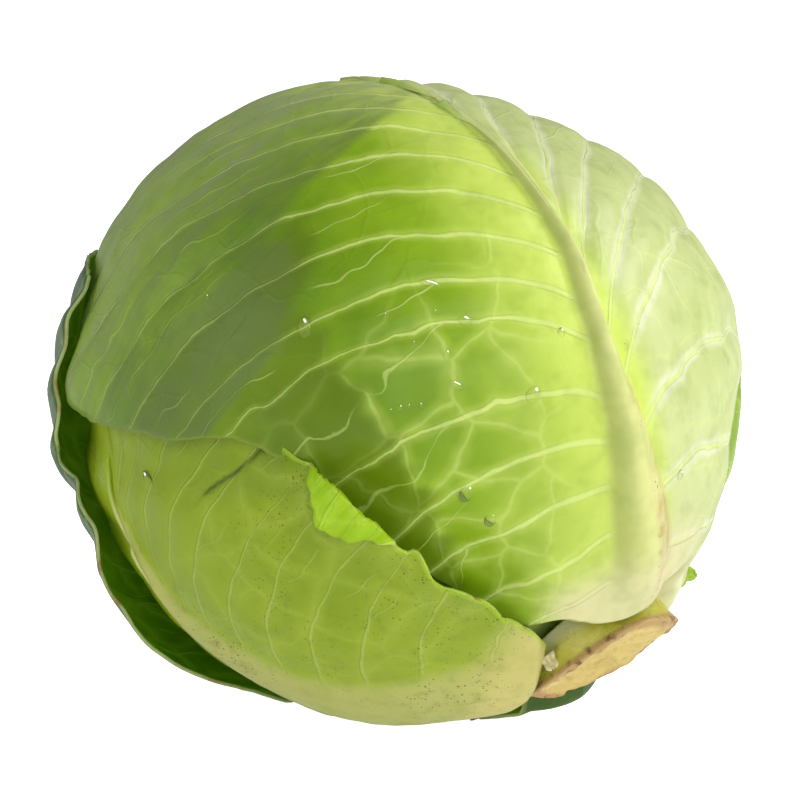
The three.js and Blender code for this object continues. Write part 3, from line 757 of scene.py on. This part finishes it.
def vein_group():
    group, n, given, out = new_group("leaf veins", [("Thick", 0.85)],
                                     ["Vein", "Fork", "Net", "Cell glow", "Glow", "Height"])
    sheet = n.out(n.add("ShaderNodeUVMap", uv_map="sheet"))
    count = n.add("ShaderNodeSeparateXYZ")
    n.put(count, Vector=n.out(n.add("ShaderNodeUVMap", uv_map="veins")))
    from_rib, row_mm = n.value("from_rib"), n.value("row_mm")
    wander = n.noise(sheet, 0.55) - 0.5
    tremble = n.noise(sheet, 2.6, 2.0, 0.6) - 0.5
    stray = wander * (WOBBLE * 3.0) + tremble * (WOBBLE * 0.35)
    counted = n.out(count, "Y") + stray * n.ramp(from_rib, 5, 30)
    def distance(number):
        # millimetres to the nearest whole vein number
        return n.math("ABSOLUTE", n.math("FRACT", number + 0.5) - 0.5) * row_mm
    far = n.ramp(from_rib, 4, 75)
    width = given["Thick"] + far * (THIN_VEIN - given["Thick"])
    to_vein = distance(counted)
    vein = n.ramp(to_vein, width * 0.35, width, 1.0, 0.0)
    # a fork leaves its side vein at a slant and then runs between it and the next one
    start = n.noise(sheet, 0.5, 0.0) * 40.0 + 14.0
    apart = n.ramp(from_rib, start, start + 26.0) * 0.5
    some = n.ramp(n.noise(sheet, 0.35, 1.0), 0.45, 0.55)
    to_fork = distance(counted + (apart + wander * 0.35))
    fork = n.ramp(to_fork, 0.12, 0.42, 1.0, 0.0) * (n.ramp(apart, 0.0, 0.02) * some)
    # the net is the edges of bent cells
    bent = n.add("ShaderNodeVectorMath", operation="MULTIPLY_ADD")
    jiggle = n.noise(sheet, 1.4, 0.5, output="Color")
    for socket, value in zip(bent.inputs, (jiggle, (0.5, 0.5, 0.5), sheet)):
        n.fill(socket, value)
    cells = n.add("ShaderNodeTexVoronoi", feature="DISTANCE_TO_EDGE", voronoi_dimensions="2D")
    n.put(cells, Vector=n.out(bent), Scale=0.62)
    to_cell, away = n.out(cells, "Distance"), n.ramp(from_rib, 8, 26)
    net = n.ramp(to_cell, 0.005, 0.055, 1.0, 0.0) * away
    n.put(out, Vein=vein, Fork=fork, Net=net, Cell_glow=n.ramp(to_cell, 0.0, 0.22, 1.0, 0.0) * away,
          Glow=n.ramp(to_vein, 0.0, far * -2.0 + 3.6, 1.0, 0.0), Height=vein + (fork * 0.5 + net * 0.22))
    return group

VEINS = vein_group()

# %% [markdown]
# Leaves that grew in a field carry a little soil: tiny dark specks that gather in clusters. A fine
# noise gives the specks and a broad one decides where they gather. A second group gives the
# whitish wax that rubs off unevenly, which makes some parts of a cabbage look grey and matt.

# %% Soil specks and wax
def speck_group():
    group, n, given, out = new_group("soil specks", [("Amount", 0.5), ("Size", 1.0)], ["Speck", "Stain"])
    place = n.place()
    dots = n.add("ShaderNodeTexVoronoi", feature="F1")
    n.put(dots, Vector=place, Scale=1150)
    pick = n.add("ShaderNodeSeparateColor")
    n.put(pick, Color=n.out(dots, "Color"))
    chosen = n.math("GREATER_THAN", n.out(pick, 0), 0.6)
    crowd = n.ramp(n.noise(place, 38, 3.0, 0.6), 0.74 - given["Amount"] * 0.36, 0.74)
    size = given["Size"] * (n.out(pick, 1) * 0.22 + 0.16)
    dot = n.ramp(n.out(dots, "Distance"), size * 0.5, size, 1.0, 0.0)
    n.put(out, Speck=dot * chosen * crowd, Stain=crowd * n.ramp(n.noise(place, 260, 2.0, 0.6), 0.5, 0.72))
    return group

def wax_group():
    group, n, given, out = new_group("leaf wax", [("Amount", 0.5)], ["Wax", "Mottle"])
    place = n.place()
    broad = n.ramp(n.noise(place, 14, 3.0, 0.55), 0.35, 0.68)
    fine = n.noise(place, 120, 3.0, 0.6)
    n.put(out, Wax=given["Amount"] * (broad * n.ramp(fine, 0.2, 0.7, 0.75, 1.0)), Mottle=fine)
    return group

SPECKS, WAX = speck_group(), wax_group()
print("shared masks:", ", ".join(group.name for group in (VEINS, SPECKS, WAX)))

# %% [markdown]
# One function paints every leaf. Green deepens away from the midrib, the midrib and side veins are
# cream, the flesh beside them is paler, and the very edge is lighter where it has dried. Its five
# tones are the deep, middle and pale green, the midrib and the veins. The other settings say how
# much wax and soil there is, how strongly veins and net show, which parts of a leaf differ, and how much
# painted light, shade, sheen and glow a leaf gets.

# %% Leaf materials
THIN_WAX = (0.30, 0.38, 0.20, 1)

def leaf_material(name, tones, glow_mm=26, wax=0.35, wax_and_sheen_colour=THIN_WAX, soil=0.4, speck_size=1.0,
                  rough=0.42, thick=0.9, vein_show=0.8, net_show=0.35, net_from=60, net_to=80, faint=0.8,
                  painted_light_side=0.0, edge_tone=None, base_white=None, base_side=None, soil_zone=None, rust=0.0,
                  painted_glow=0.0, rib_shade=0.5):
    material, n, shader = new_material(name)
    deep, mid, pale, rib, vein = (srgb(*tone) for tone in tones)
    masks = n.group(VEINS, Thick=thick)
    specks = n.group(SPECKS, Amount=soil, Size=speck_size)
    bloom = n.group(WAX, Amount=wax)
    place = n.place()
    from_rib, ribness, along, to_edge, sideways, on_rib, painted_sheen, dark, tear_shade = map(
        n.value, ("from_rib", "ribness", "along", "to_edge", "sideways", "on_rib", "painted_sheen", "dark", "tear_shade"))
    # patches of green, paler near the midrib
    blotch = n.noise(place, 22, 4.0, 0.6)
    patchy = n.ramp(blotch, 0.3, 0.7)
    reach = (blotch - 0.5) * 26.0 + glow_mm
    colour = n.mix(n.ramp(from_rib, 12, 75), mid, n.mix(patchy, deep, mid))
    # painted light: the right half, where the key lamp falls, is painted paler
    if painted_light_side:
        painted_lit_right = n.ramp(sideways, -2, -10, 0.0, painted_light_side)
        colour = n.mix(painted_lit_right, colour, srgb(198, 210, 138))
        pale = n.mix(painted_lit_right, pale, srgb(210, 218, 156))
    colour = n.mix(n.ramp(from_rib, reach * 0.15, reach, 1.0, 0.0), colour, pale)
    colour = n.mix(dark * 0.92, colour, n.mix(patchy, srgb(92, 118, 0), srgb(108, 136, 0)))
    # the glow of the veins and the net
    near_vein = masks["Glow"]
    colour = n.mix(near_vein * (n.ramp(from_rib, 25, 80, 0.55, 0.22) * vein_show), colour, pale)
    if painted_light_side:
        # painted light: on the lit right half the veins are painted broad and almost white
        broad = n.math("POWER", near_vein, 0.7) * n.ramp(from_rib, 10, 90, 1.0, 0.5)
        colour = n.mix(broad * painted_lit_right, colour, srgb(232, 232, 204))
    net_zone = n.ramp(along, net_to, net_from) * (1.0 - painted_sheen * 0.75) * n.ramp(dark, 0, 1, 1.0, 0.25)
    colour = n.mix(masks["Cell glow"] * (net_zone * 0.3), colour, pale)
    # wax: a thin film everywhere; then painted sheen, the grey reflection of the left lamp on the front
    # leaf, lighter towards the tip and there only in streaks along the veins
    colour = n.mix(bloom["Wax"] * n.ramp(ribness, 0.0, 0.6, 1.0, 0.3), colour, wax_and_sheen_colour)
    sheen_tone = n.mix(n.ramp(along, 18, 45), wax_and_sheen_colour, srgb(150, 160, 112))
    stretched = n.add("ShaderNodeCombineXYZ")
    n.put(stretched, X=sideways * 0.035, Y=along * 0.32)
    streak = n.ramp(n.noise(n.out(stretched), 1.0, 3.0, 0.6), 0.36, 0.62, 0.45, 1.0)
    streak = n.mix(n.ramp(along, 6, 20), (1, 1, 1, 1), streak)
    sheen_here = painted_sheen * n.ramp(bloom["Mottle"], 0.25, 0.75, 0.5, 0.9)
    colour = n.mix(sheen_here * streak, colour, sheen_tone)
    # the net, the side veins and the midrib themselves
    colour = n.mix(masks["Net"] * (net_zone * net_show), colour, vein)
    off_rib = n.ramp(ribness, 0.02, 0.35, 1.0, 0.0)
    lines = n.math("MAXIMUM", masks["Fork"] * 0.75, masks["Vein"])
    lines = lines * (off_rib * n.ramp(from_rib, 20, 85, 1.0, faint))
    colour = n.mix(lines * (n.ramp(painted_sheen, 0, 1, 1.0, 0.5) * vein_show), colour, vein)
    colour = n.mix(n.ramp(ribness, 0.0, 0.6), colour, rib)
    # painted shade: the midrib's left flank, turned away from the key lamp, is painted olive
    shaded = n.ramp(on_rib, 0.05, 0.7) * n.ramp(ribness, 0.0, 0.45)
    colour = n.mix(shaded * rib_shade, colour, srgb(150, 164, 62))
    if base_white:
        base = n.ramp(along, -60, -71)
        if base_side:
            base = base * n.ramp(n.math("ABSOLUTE", sideways), base_side * 1.5, base_side)
        colour = n.mix(base, colour, base_white)
    if edge_tone:
        colour = n.mix(n.ramp(to_edge, 0.25, 1.4, 0.8, 0.0), colour, edge_tone)
    if rust:
        where = n.ramp(on_rib, -0.05, -0.5) * n.ramp(on_rib, -1.1, -0.85) * n.ramp(along, -18, -46)
        rusty = n.ramp(n.noise(place, 60, 4.0, 0.7), 0.42, 0.7, 0.1, rust)
        colour = n.mix(where * rusty, colour, srgb(190, 148, 92))
        colour = n.mix(where * n.ramp(n.noise(place, 700), 0.66, 0.72), colour, srgb(120, 72, 40))
    # mottling, soil, and painted shade along the tear
    colour = n.mix(n.ramp(n.noise(place, 130, 2.0, 0.65), 0.4, 0.75, 0.0, 0.22), colour, deep)
    dirt = n.ramp(along, *soil_zone) if soil_zone else 1.0
    colour = n.mix(specks["Stain"] * (dirt * 0.3), colour, srgb(104, 100, 30))
    colour = n.mix(specks["Speck"] * dirt, colour, srgb(38, 34, 10))
    colour = n.mix(tear_shade * 0.85, colour, srgb(62, 78, 12))
    if painted_glow:
        # painted glow: the blade gives off light in its own colour, in place of light coming through the
        # thin blade from behind
        n.put(shader, Emission_Color=colour, Emission_Strength=painted_glow)
    grain = n.noise(place, 900, 0.5, 0.6) + n.noise(place, 150, 1.5, 0.55) * 7.0
    n.put(shader, Base_Color=colour, Specular_IOR_Level=0.3,
          Roughness=n.math("ADD", rough, (bloom["Mottle"] - 0.5) * 0.25, clamp=True),
          Normal=n.relief(masks["Height"] * off_rib + grain * 0.10, 0.55, 0.0006))
    return material

def mottled_material(name, dark, light, size, low, high, rough):
    material, n, shader = new_material(name)
    mottle = n.ramp(n.noise(n.place(), size, 3.0, 0.6), low, high)
    n.put(shader, Base_Color=n.mix(mottle, dark, light), Roughness=rough)
    return material

def dress(piece, *materials):
    for material in materials:
        piece.data.materials.append(material)
    print(piece.name, "wears", ", ".join(m.name for m in materials))

# for each blade: its name, the tones and settings of its outside and of its inside, its edge's colour
LOOKS = [
    (front, "front leaf",
     [(96, 134, 0), (142, 178, 14), (206, 226, 100), (216, 220, 140), (212, 230, 128)],
     dict(glow_mm=42, wax=0.10, wax_and_sheen_colour=srgb(96, 116, 50), soil=0.25, painted_light_side=0.95, thick=1.2,
          net_from=-20, net_to=-4, net_show=0.25, rust=0.8, edge_tone=srgb(132, 150, 50),
          base_white=srgb(220, 216, 160), base_side=17, rib_shade=0.65, faint=0.5),
     [(140, 175, 50), (160, 192, 64), (205, 220, 130), (220, 226, 160), (205, 220, 140)],
     dict(wax=0.1, soil=0.1), (170, 178, 96)),
    (lower, "lower leaf",
     [(110, 136, 0), (144, 165, 18), (162, 181, 46), (178, 180, 98), (170, 190, 82)],
     dict(glow_mm=24, wax=0.12, wax_and_sheen_colour=srgb(132, 150, 70), soil=1.0, speck_size=1.1, vein_show=0.55,
          edge_tone=srgb(164, 196, 40), base_white=srgb(200, 192, 112), net_show=0.12, net_from=-18,
          net_to=-4, soil_zone=(4, -22)),
     [(140, 182, 4), (162, 200, 12), (178, 210, 48), (206, 214, 130), (172, 208, 56)],
     dict(wax=0.0, soil=0.2, vein_show=0.5, net_show=0.3), (186, 214, 82)),
    (outer, "outer leaf",
     [(30, 66, 6), (48, 92, 12), (92, 128, 44), (176, 190, 116), (112, 148, 66)],
     dict(glow_mm=18, wax_and_sheen_colour=srgb(84, 112, 72), soil=0.6, vein_show=0.7, net_show=0.3,
          edge_tone=srgb(120, 140, 60), base_white=srgb(58, 92, 18)),
     [(64, 118, 2), (104, 158, 6), (136, 180, 30), (150, 170, 80), (112, 158, 40)],
     dict(glow_mm=14, wax=0.0, soil=0.3, vein_show=0.75, net_show=0.15, rough=0.4, painted_glow=0.12),
     (158, 174, 110)),
    (right, "right leaf",
     [(104, 144, 24), (140, 176, 48), (184, 206, 96), (218, 222, 150), (192, 214, 118)],
     dict(wax=0.3, wax_and_sheen_colour=srgb(130, 152, 84), soil=0.35, net_show=0.3, edge_tone=srgb(176, 190, 92),
          base_white=srgb(226, 224, 176)),
     [(150, 180, 56), (170, 196, 76), (204, 216, 128), (220, 224, 156), (205, 220, 140)],
     dict(wax=0.1, soil=0.1), (190, 200, 120)),
    (crown, "crown leaf",
     [(144, 178, 60), (170, 200, 84), (204, 222, 130), (226, 230, 168), (212, 228, 144)],
     dict(glow_mm=30, wax=0.3, wax_and_sheen_colour=srgb(156, 176, 110), soil=0.2, net_show=0.3,
          edge_tone=srgb(196, 208, 130)),
     [(176, 200, 90), (190, 212, 104), (214, 226, 144), (226, 230, 168), (214, 228, 148)],
     dict(wax=0.1, soil=0.1), (205, 214, 140)),
]
for blade, name, tones, settings, inner_tones, inner_settings, edge in LOOKS:
    dress(blade, leaf_material(name, tones, **settings),
          leaf_material(name + " inside", inner_tones, **inner_settings),
          mottled_material(name + " edge", srgb(*edge), srgb(150, 122, 66), 140, 0.45, 0.7, 0.6))

# %% [markdown]
# The stump has three finishes that run into each other: moist cream flesh on the cut face, a dry
# brown band along its rim, and yellow-green skin on the flanks that pales towards the leaves. All
# three are mixed in one material by how far out and how far up a point lies.

# %% Stem and inner head materials
def stem_material():
    material, n, shader = new_material("cut stem flesh")
    place = n.place()
    face, out_to_rim, up = n.value("cut_face"), n.value("out_to_rim"), n.value("up_stump")
    blotch = n.noise(place, 90, 4.0, 0.6)
    fine = n.noise(place, 420, 3.0, 0.6)
    flank = n.mix(n.ramp(blotch, 0.35, 0.68), srgb(188, 184, 56), srgb(208, 200, 100))
    flank = n.mix(n.ramp(up, 0.0, 0.55, 1.0, 0.0), flank, srgb(232, 228, 184))
    flank = n.mix(n.ramp(fine, 0.55, 0.75) * 0.35, flank, srgb(140, 120, 50))
    cut = n.mix(n.ramp(blotch, 0.3, 0.7), srgb(226, 204, 128), srgb(206, 180, 96))
    cut = n.mix(n.ramp(fine, 0.5, 0.7) * 0.3, cut, srgb(168, 132, 60))
    colour = n.mix(face, flank, cut)
    wavy = up + (blotch - 0.5) * 0.16
    band = n.ramp(wavy, 0.80, 0.92) * n.ramp(out_to_rim, 0.80, 0.93)
    colour = n.mix(band * 0.85, colour, srgb(182, 142, 92))
    colour = n.mix(band * n.ramp(fine, 0.5, 0.72), colour, srgb(104, 70, 34))
    n.put(shader, Base_Color=colour, Roughness=n.ramp(fine, 0.2, 0.8, 0.34, 0.62),
          Normal=n.relief(blotch * 0.9 + fine, 0.7, 0.0005),
          Subsurface_Weight=0.15, Subsurface_Radius=(1.0, 0.8, 0.3), Subsurface_Scale=0.002)
    return material

def inner_material():
    material, n, shader = new_material("packed leaves")
    blotch = n.noise(n.place(), 30, 4.0, 0.6)
    colour = n.mix(n.ramp(blotch, 0.3, 0.7), srgb(176, 204, 92), srgb(206, 222, 134))
    colour = n.mix(n.ramp(n.value("wound"), 0.0, 0.08, 0.7, 0.0), colour, srgb(140, 170, 60))
    n.put(shader, Base_Color=colour, Roughness=0.45)
    return material

dress(stem, stem_material())
dress(inner_head, inner_material())

# %% [markdown]
# Trimming left small torn scraps of the outermost leaves behind: a dark and a pale one at the bottom
# below the stump, a curled green one on its right, and a cream crumb at the left end of its cut face.
# Each is a tiny ruffled sheet whose far edge curls.

# %% Torn scraps
ABOVE_TABLE = 0.6  # mm, so that half a scrap's thickness still clears the table

def build_scrap(name, middle, outward, run, long, wide, curl, seed, node):
    bm = bmesh.new()
    bmesh.ops.create_grid(bm, x_segments=26, y_segments=16, size=0.5)
    phase = np.random.default_rng(seed).uniform(0, 6, 4)
    u = unit(outward)
    run = np.array(run)
    run = unit(run - u * (run @ u))
    side = np.cross(u, run)
    for v in bm.verts:
        a, b = v.co.x + 0.5, v.co.y
        narrow = 1 - 0.55 * a ** 2 + 0.12 * math.sin(a * 9 + phase[0])
        ruffle = 0.20 * math.sin(a * 11 + phase[1]) * abs(b) + 0.05 * math.sin(b * 17 + phase[2])
        bend = curl * a * (1 + 0.12 * math.sin(b * 14 + phase[3]))
        forward = long * math.sin(bend) / curl
        up = long * (1 - math.cos(bend)) / curl
        place = np.array(middle) + run * forward + side * (b * wide * narrow) + u * (up + wide * ruffle)
        place[2] = max(place[2], ABOVE_TABLE)
        v.co = place * MM
    bmesh.ops.recalc_face_normals(bm, faces=bm.faces)
    piece = new_piece(name, mesh_from(bm, name))
    add_wall(piece, 0.7, 0)
    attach(piece, "root")
    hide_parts(node)
    print(name, "made")
    return piece

SCRAPS = [
    ("scrap_dark", (34, -27, 8.2), (0.1, -0.8, -0.5), (-1, 0, -0.25), 17, 9, 0.25, 3, "leaf_outer",
     "dark scrap", (62, 88, 14), (104, 132, 30)),
    ("scrap_pale", (34.5, -30, 8.6), (0.2, -0.9, -0.35), (-1, 0, -0.35), 9, 4, -0.5, 5, "leaf_outer",
     "pale scrap", (120, 150, 40), (176, 192, 96)),
    ("scrap_curled", (70.5, -17, 36.8), (0.6, -0.7, 0.2), (0.8, 0.1, 0.35), 6, 5, 2.0, 8, "leaf_right",
     "green scrap", (130, 176, 30), (186, 214, 90)),
    ("scrap_nub", (33.2, -62.5, 33.2), (0.1, -0.95, 0.1), (0.5, -0.2, -0.8), 3.6, 3.8, 0.9, 12, "stem",
     "cream scrap", (206, 196, 140), (230, 222, 180)),
]
scraps = []
for *shape, flesh, dark, light in SCRAPS:
    scraps.append(build_scrap(*shape))
    dress(scraps[-1], mottled_material(flesh, srgb(*dark), srgb(*light), 160, 0.38, 0.62, 0.5))

# %% [markdown]
# Water drops sit on the front and lower leaf. Each is a low round dome, longer in the direction it
# has run. The film is mostly see-through with a glossy coat; its glint is a painted highlight, white and
# glowing where the dome faces one set direction, and its low rim is painted dark green as shade.
# The leaf's own points say how high its surface is under each drop.

# %% Water drops
def surface_point(blade, direction):
    # the height of the six points of the blade that lie nearest to the line from the head's centre
    co = np.empty(len(blade.data.vertices) * 3, np.float32)
    blade.data.vertices.foreach_get("co", co)
    co = co.reshape(-1, 3) / MM - np.array([0, 0, HEAD_HEIGHT])
    far = np.linalg.norm(co, axis=1)
    best = np.argsort(-(co / far[:, None]) @ direction)[:6]
    return direction * far[best].mean() + np.array([0, 0, HEAD_HEIGHT])

DROP_LEAN = 0.18  # how much fuller a drop is at its lower end
# the direction in which the painted glint sits
GLINT_FROM = np.array([0.25, 0, 0.5])

def drop_mesh(bm, place, outward, run, long, wide, tall, marks):
    side = np.cross(outward, run)
    glint = unit(outward * 0.8 + GLINT_FROM)
    for v in bmesh.ops.create_icosphere(bm, subdivisions=3, radius=1.0)["verts"]:
        a, b, c = v.co
        belly = 1 + DROP_LEAN * a
        p = place + run * (a * long) + side * (b * wide * belly) + outward * (max(c, -0.25) * tall * belly)
        v.co = p * MM
        normal = unit(run * (a / long) + side * (b / wide) + outward * (c / tall))
        # how low on the dome, for the painted dark rim, and how near the painted glint
        marks.append((max(0.0, 1 - c * 1.15), float(normal @ glint)))

def build_drops(name, leaf, blade, drops, node):
    bm = bmesh.new()
    marks = []
    for x, y, long, wide, turn in drops:
        u = leaf_direction(leaf["turn"], np.array([float(x)]), np.array([float(y)]))[0]
        down = np.array([0, -0.35, -1.0])
        run = unit(down - u * (down @ u))
        run = unit(run * math.cos(math.radians(turn)) + np.cross(u, run) * math.sin(math.radians(turn)))
        drop_mesh(bm, surface_point(blade, u), u, run, long / 2, wide / 2, 0.36 * min(long, wide), marks)
    mesh = mesh_from(bm, name)
    put_value(mesh, "low", [m[0] for m in marks])
    put_value(mesh, "glint", [m[1] for m in marks])
    piece = new_piece(name, mesh)
    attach(piece, "root")
    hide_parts(node)
    print(name, len(drops), "drops")
    return piece

# place on the leaf in degrees, length and width in mm, and turn from straight down
FRONT_DROPS = [(42.2, -2.9, 5.2, 3.4, 10), (21.1, -16.5, 3.4, 2.6, 60), (26.3, -19.7, 2.6, 1.8, 0),
               (27.2, -24.4, 3.6, 1.8, 60), (22.7, -8.6, 5.2, 1.7, 72), (16.6, -31.5, 4.4, 3.4, -20),
               (32.5, -40.6, 4.4, 3.0, -25), (30.0, -46.7, 3.8, 2.8, -10), (36.4, -22.8, 1.8, 1.5, 0),
               (35.1, -23.3, 1.2, 1.0, 0), (33.4, -24.2, 1.6, 1.2, 30), (37.8, -22.3, 1.0, 0.9, 0),
               (8.1, -25.0, 2.4, 1.8, 0), (-9.9, -54.3, 2.6, 2.0, 0), (51.0, 14.6, 1.8, 1.2, 40),
               (24.5, -13.0, 1.3, 1.0, 0), (29.8, -15.4, 1.1, 0.9, 0), (31.2, -9.2, 1.2, 0.9, 0)]
front_drops = build_drops("drops_on_front", FRONT, front, FRONT_DROPS, "leaf_front")
lower_drops = build_drops("drop_on_lower", LOWER, lower, [(-11.1, 1.2, 6.2, 3.4, 12)], "leaf_lower")

def water_material():
    material, n, shader = new_material("water")
    # painted highlight: a white glowing glint where the dome faces the glint direction; painted shade: the
    # low rim darker green
    low, painted_glint = n.value("low"), n.ramp(n.value("glint"), 0.955, 0.985)
    body = n.mix(n.ramp(low, 0.35, 1.0), srgb(196, 220, 96), srgb(62, 88, 6))
    n.put(shader, Base_Color=n.mix(painted_glint, body, srgb(255, 255, 250)),
          Alpha=n.math("MAXIMUM", n.ramp(low, 0.5, 1.1, 0.12, 0.5), painted_glint),
          Emission_Color=n.mix(painted_glint, (0, 0, 0, 1), (1, 1, 1, 1)), Emission_Strength=0.35,
          Roughness=0.05, IOR=1.33, Coat_Weight=1.0)
    return material

water = water_material()
dress(front_drops, water)
dress(lower_drops, water)

# %% [markdown]
# The camera stands a little over half a metre away with a long lens, and looks down by 15 degrees.

# %% Camera
camera_data = bpy.data.cameras.new("camera")
camera_data.lens = 100
camera_data.sensor_width = 36
camera = bpy.data.objects.new("camera", camera_data)
camera.location = np.array([-2.019, -565.398, HEAD_HEIGHT + 149.385]) * MM
camera.rotation_euler = (math.radians(75), 0, 0)
bpy.context.collection.objects.link(camera)
bpy.context.scene.camera = camera
print("camera at", [round(c, 3) for c in camera.location])

# %% [markdown]
# The head lies on a plain white surface in a white room, as in a studio. The main light stands
# high on the right and makes the right side almost white, together with the paleness painted there. A weak
# cool one at the left adds to the grey sheen painted on the front leaf, and one in front opens the shadows.
# The table and the room are brighter to the camera than to the leaves, so that they stay pure white without
# washing them out.

# %% Floor and light
LIT_PLACE = (0, 0, 0.08)  # metres

def add_floor():
    bm = bmesh.new()
    bmesh.ops.create_grid(bm, x_segments=1, y_segments=1, size=6.0)
    mesh = mesh_from(bm, "table")
    floor = bpy.data.objects.new("table", mesh)
    bpy.context.collection.objects.link(floor)
    material, n, shader = new_material("white table")
    seen = n.out(n.add("ShaderNodeLightPath"), "Is Camera Ray")
    n.put(shader, Base_Color=(0.95, 0.95, 0.95, 1), Roughness=0.9, Specular_IOR_Level=0.1,
          Emission_Color=(1, 1, 1, 1), Emission_Strength=seen * 0.75 + 0.25)
    mesh.materials.append(material)

def add_panel(name, place, size, power, colour):
    data = bpy.data.lights.new(name, "AREA")
    data.shape = "RECTANGLE"
    data.size, data.size_y = size
    data.energy = power
    data.color = colour
    light = bpy.data.objects.new(name, data)
    light.location = place
    light.rotation_euler = (Vector(LIT_PLACE) - Vector(place)).to_track_quat("-Z", "Y").to_euler()
    bpy.context.collection.objects.link(light)

add_floor()
add_panel("key panel", (0.85, 0.05, 0.75), (0.5, 0.5), 6.8, (1.0, 0.99, 0.97))
add_panel("left panel", (-0.8, -0.35, 0.45), (0.45, 0.6), 1.6, (0.90, 0.96, 1.0))
add_panel("front panel", (0.25, -0.9, 0.5), (0.6, 0.6), 3.4, (1, 1, 1))
world = bpy.data.worlds.new("white room")
bpy.context.scene.world = world
world.use_nodes = True
room, background = Nodes(world.node_tree), world.node_tree.nodes["Background"]
seen = room.out(room.add("ShaderNodeLightPath"), "Is Camera Ray")
room.put(background, Color=(1, 1, 1, 1), Strength=seen * 0.7 + 0.36)
bpy.context.scene.view_settings.view_transform = "Standard"
print("three light panels and a white room")
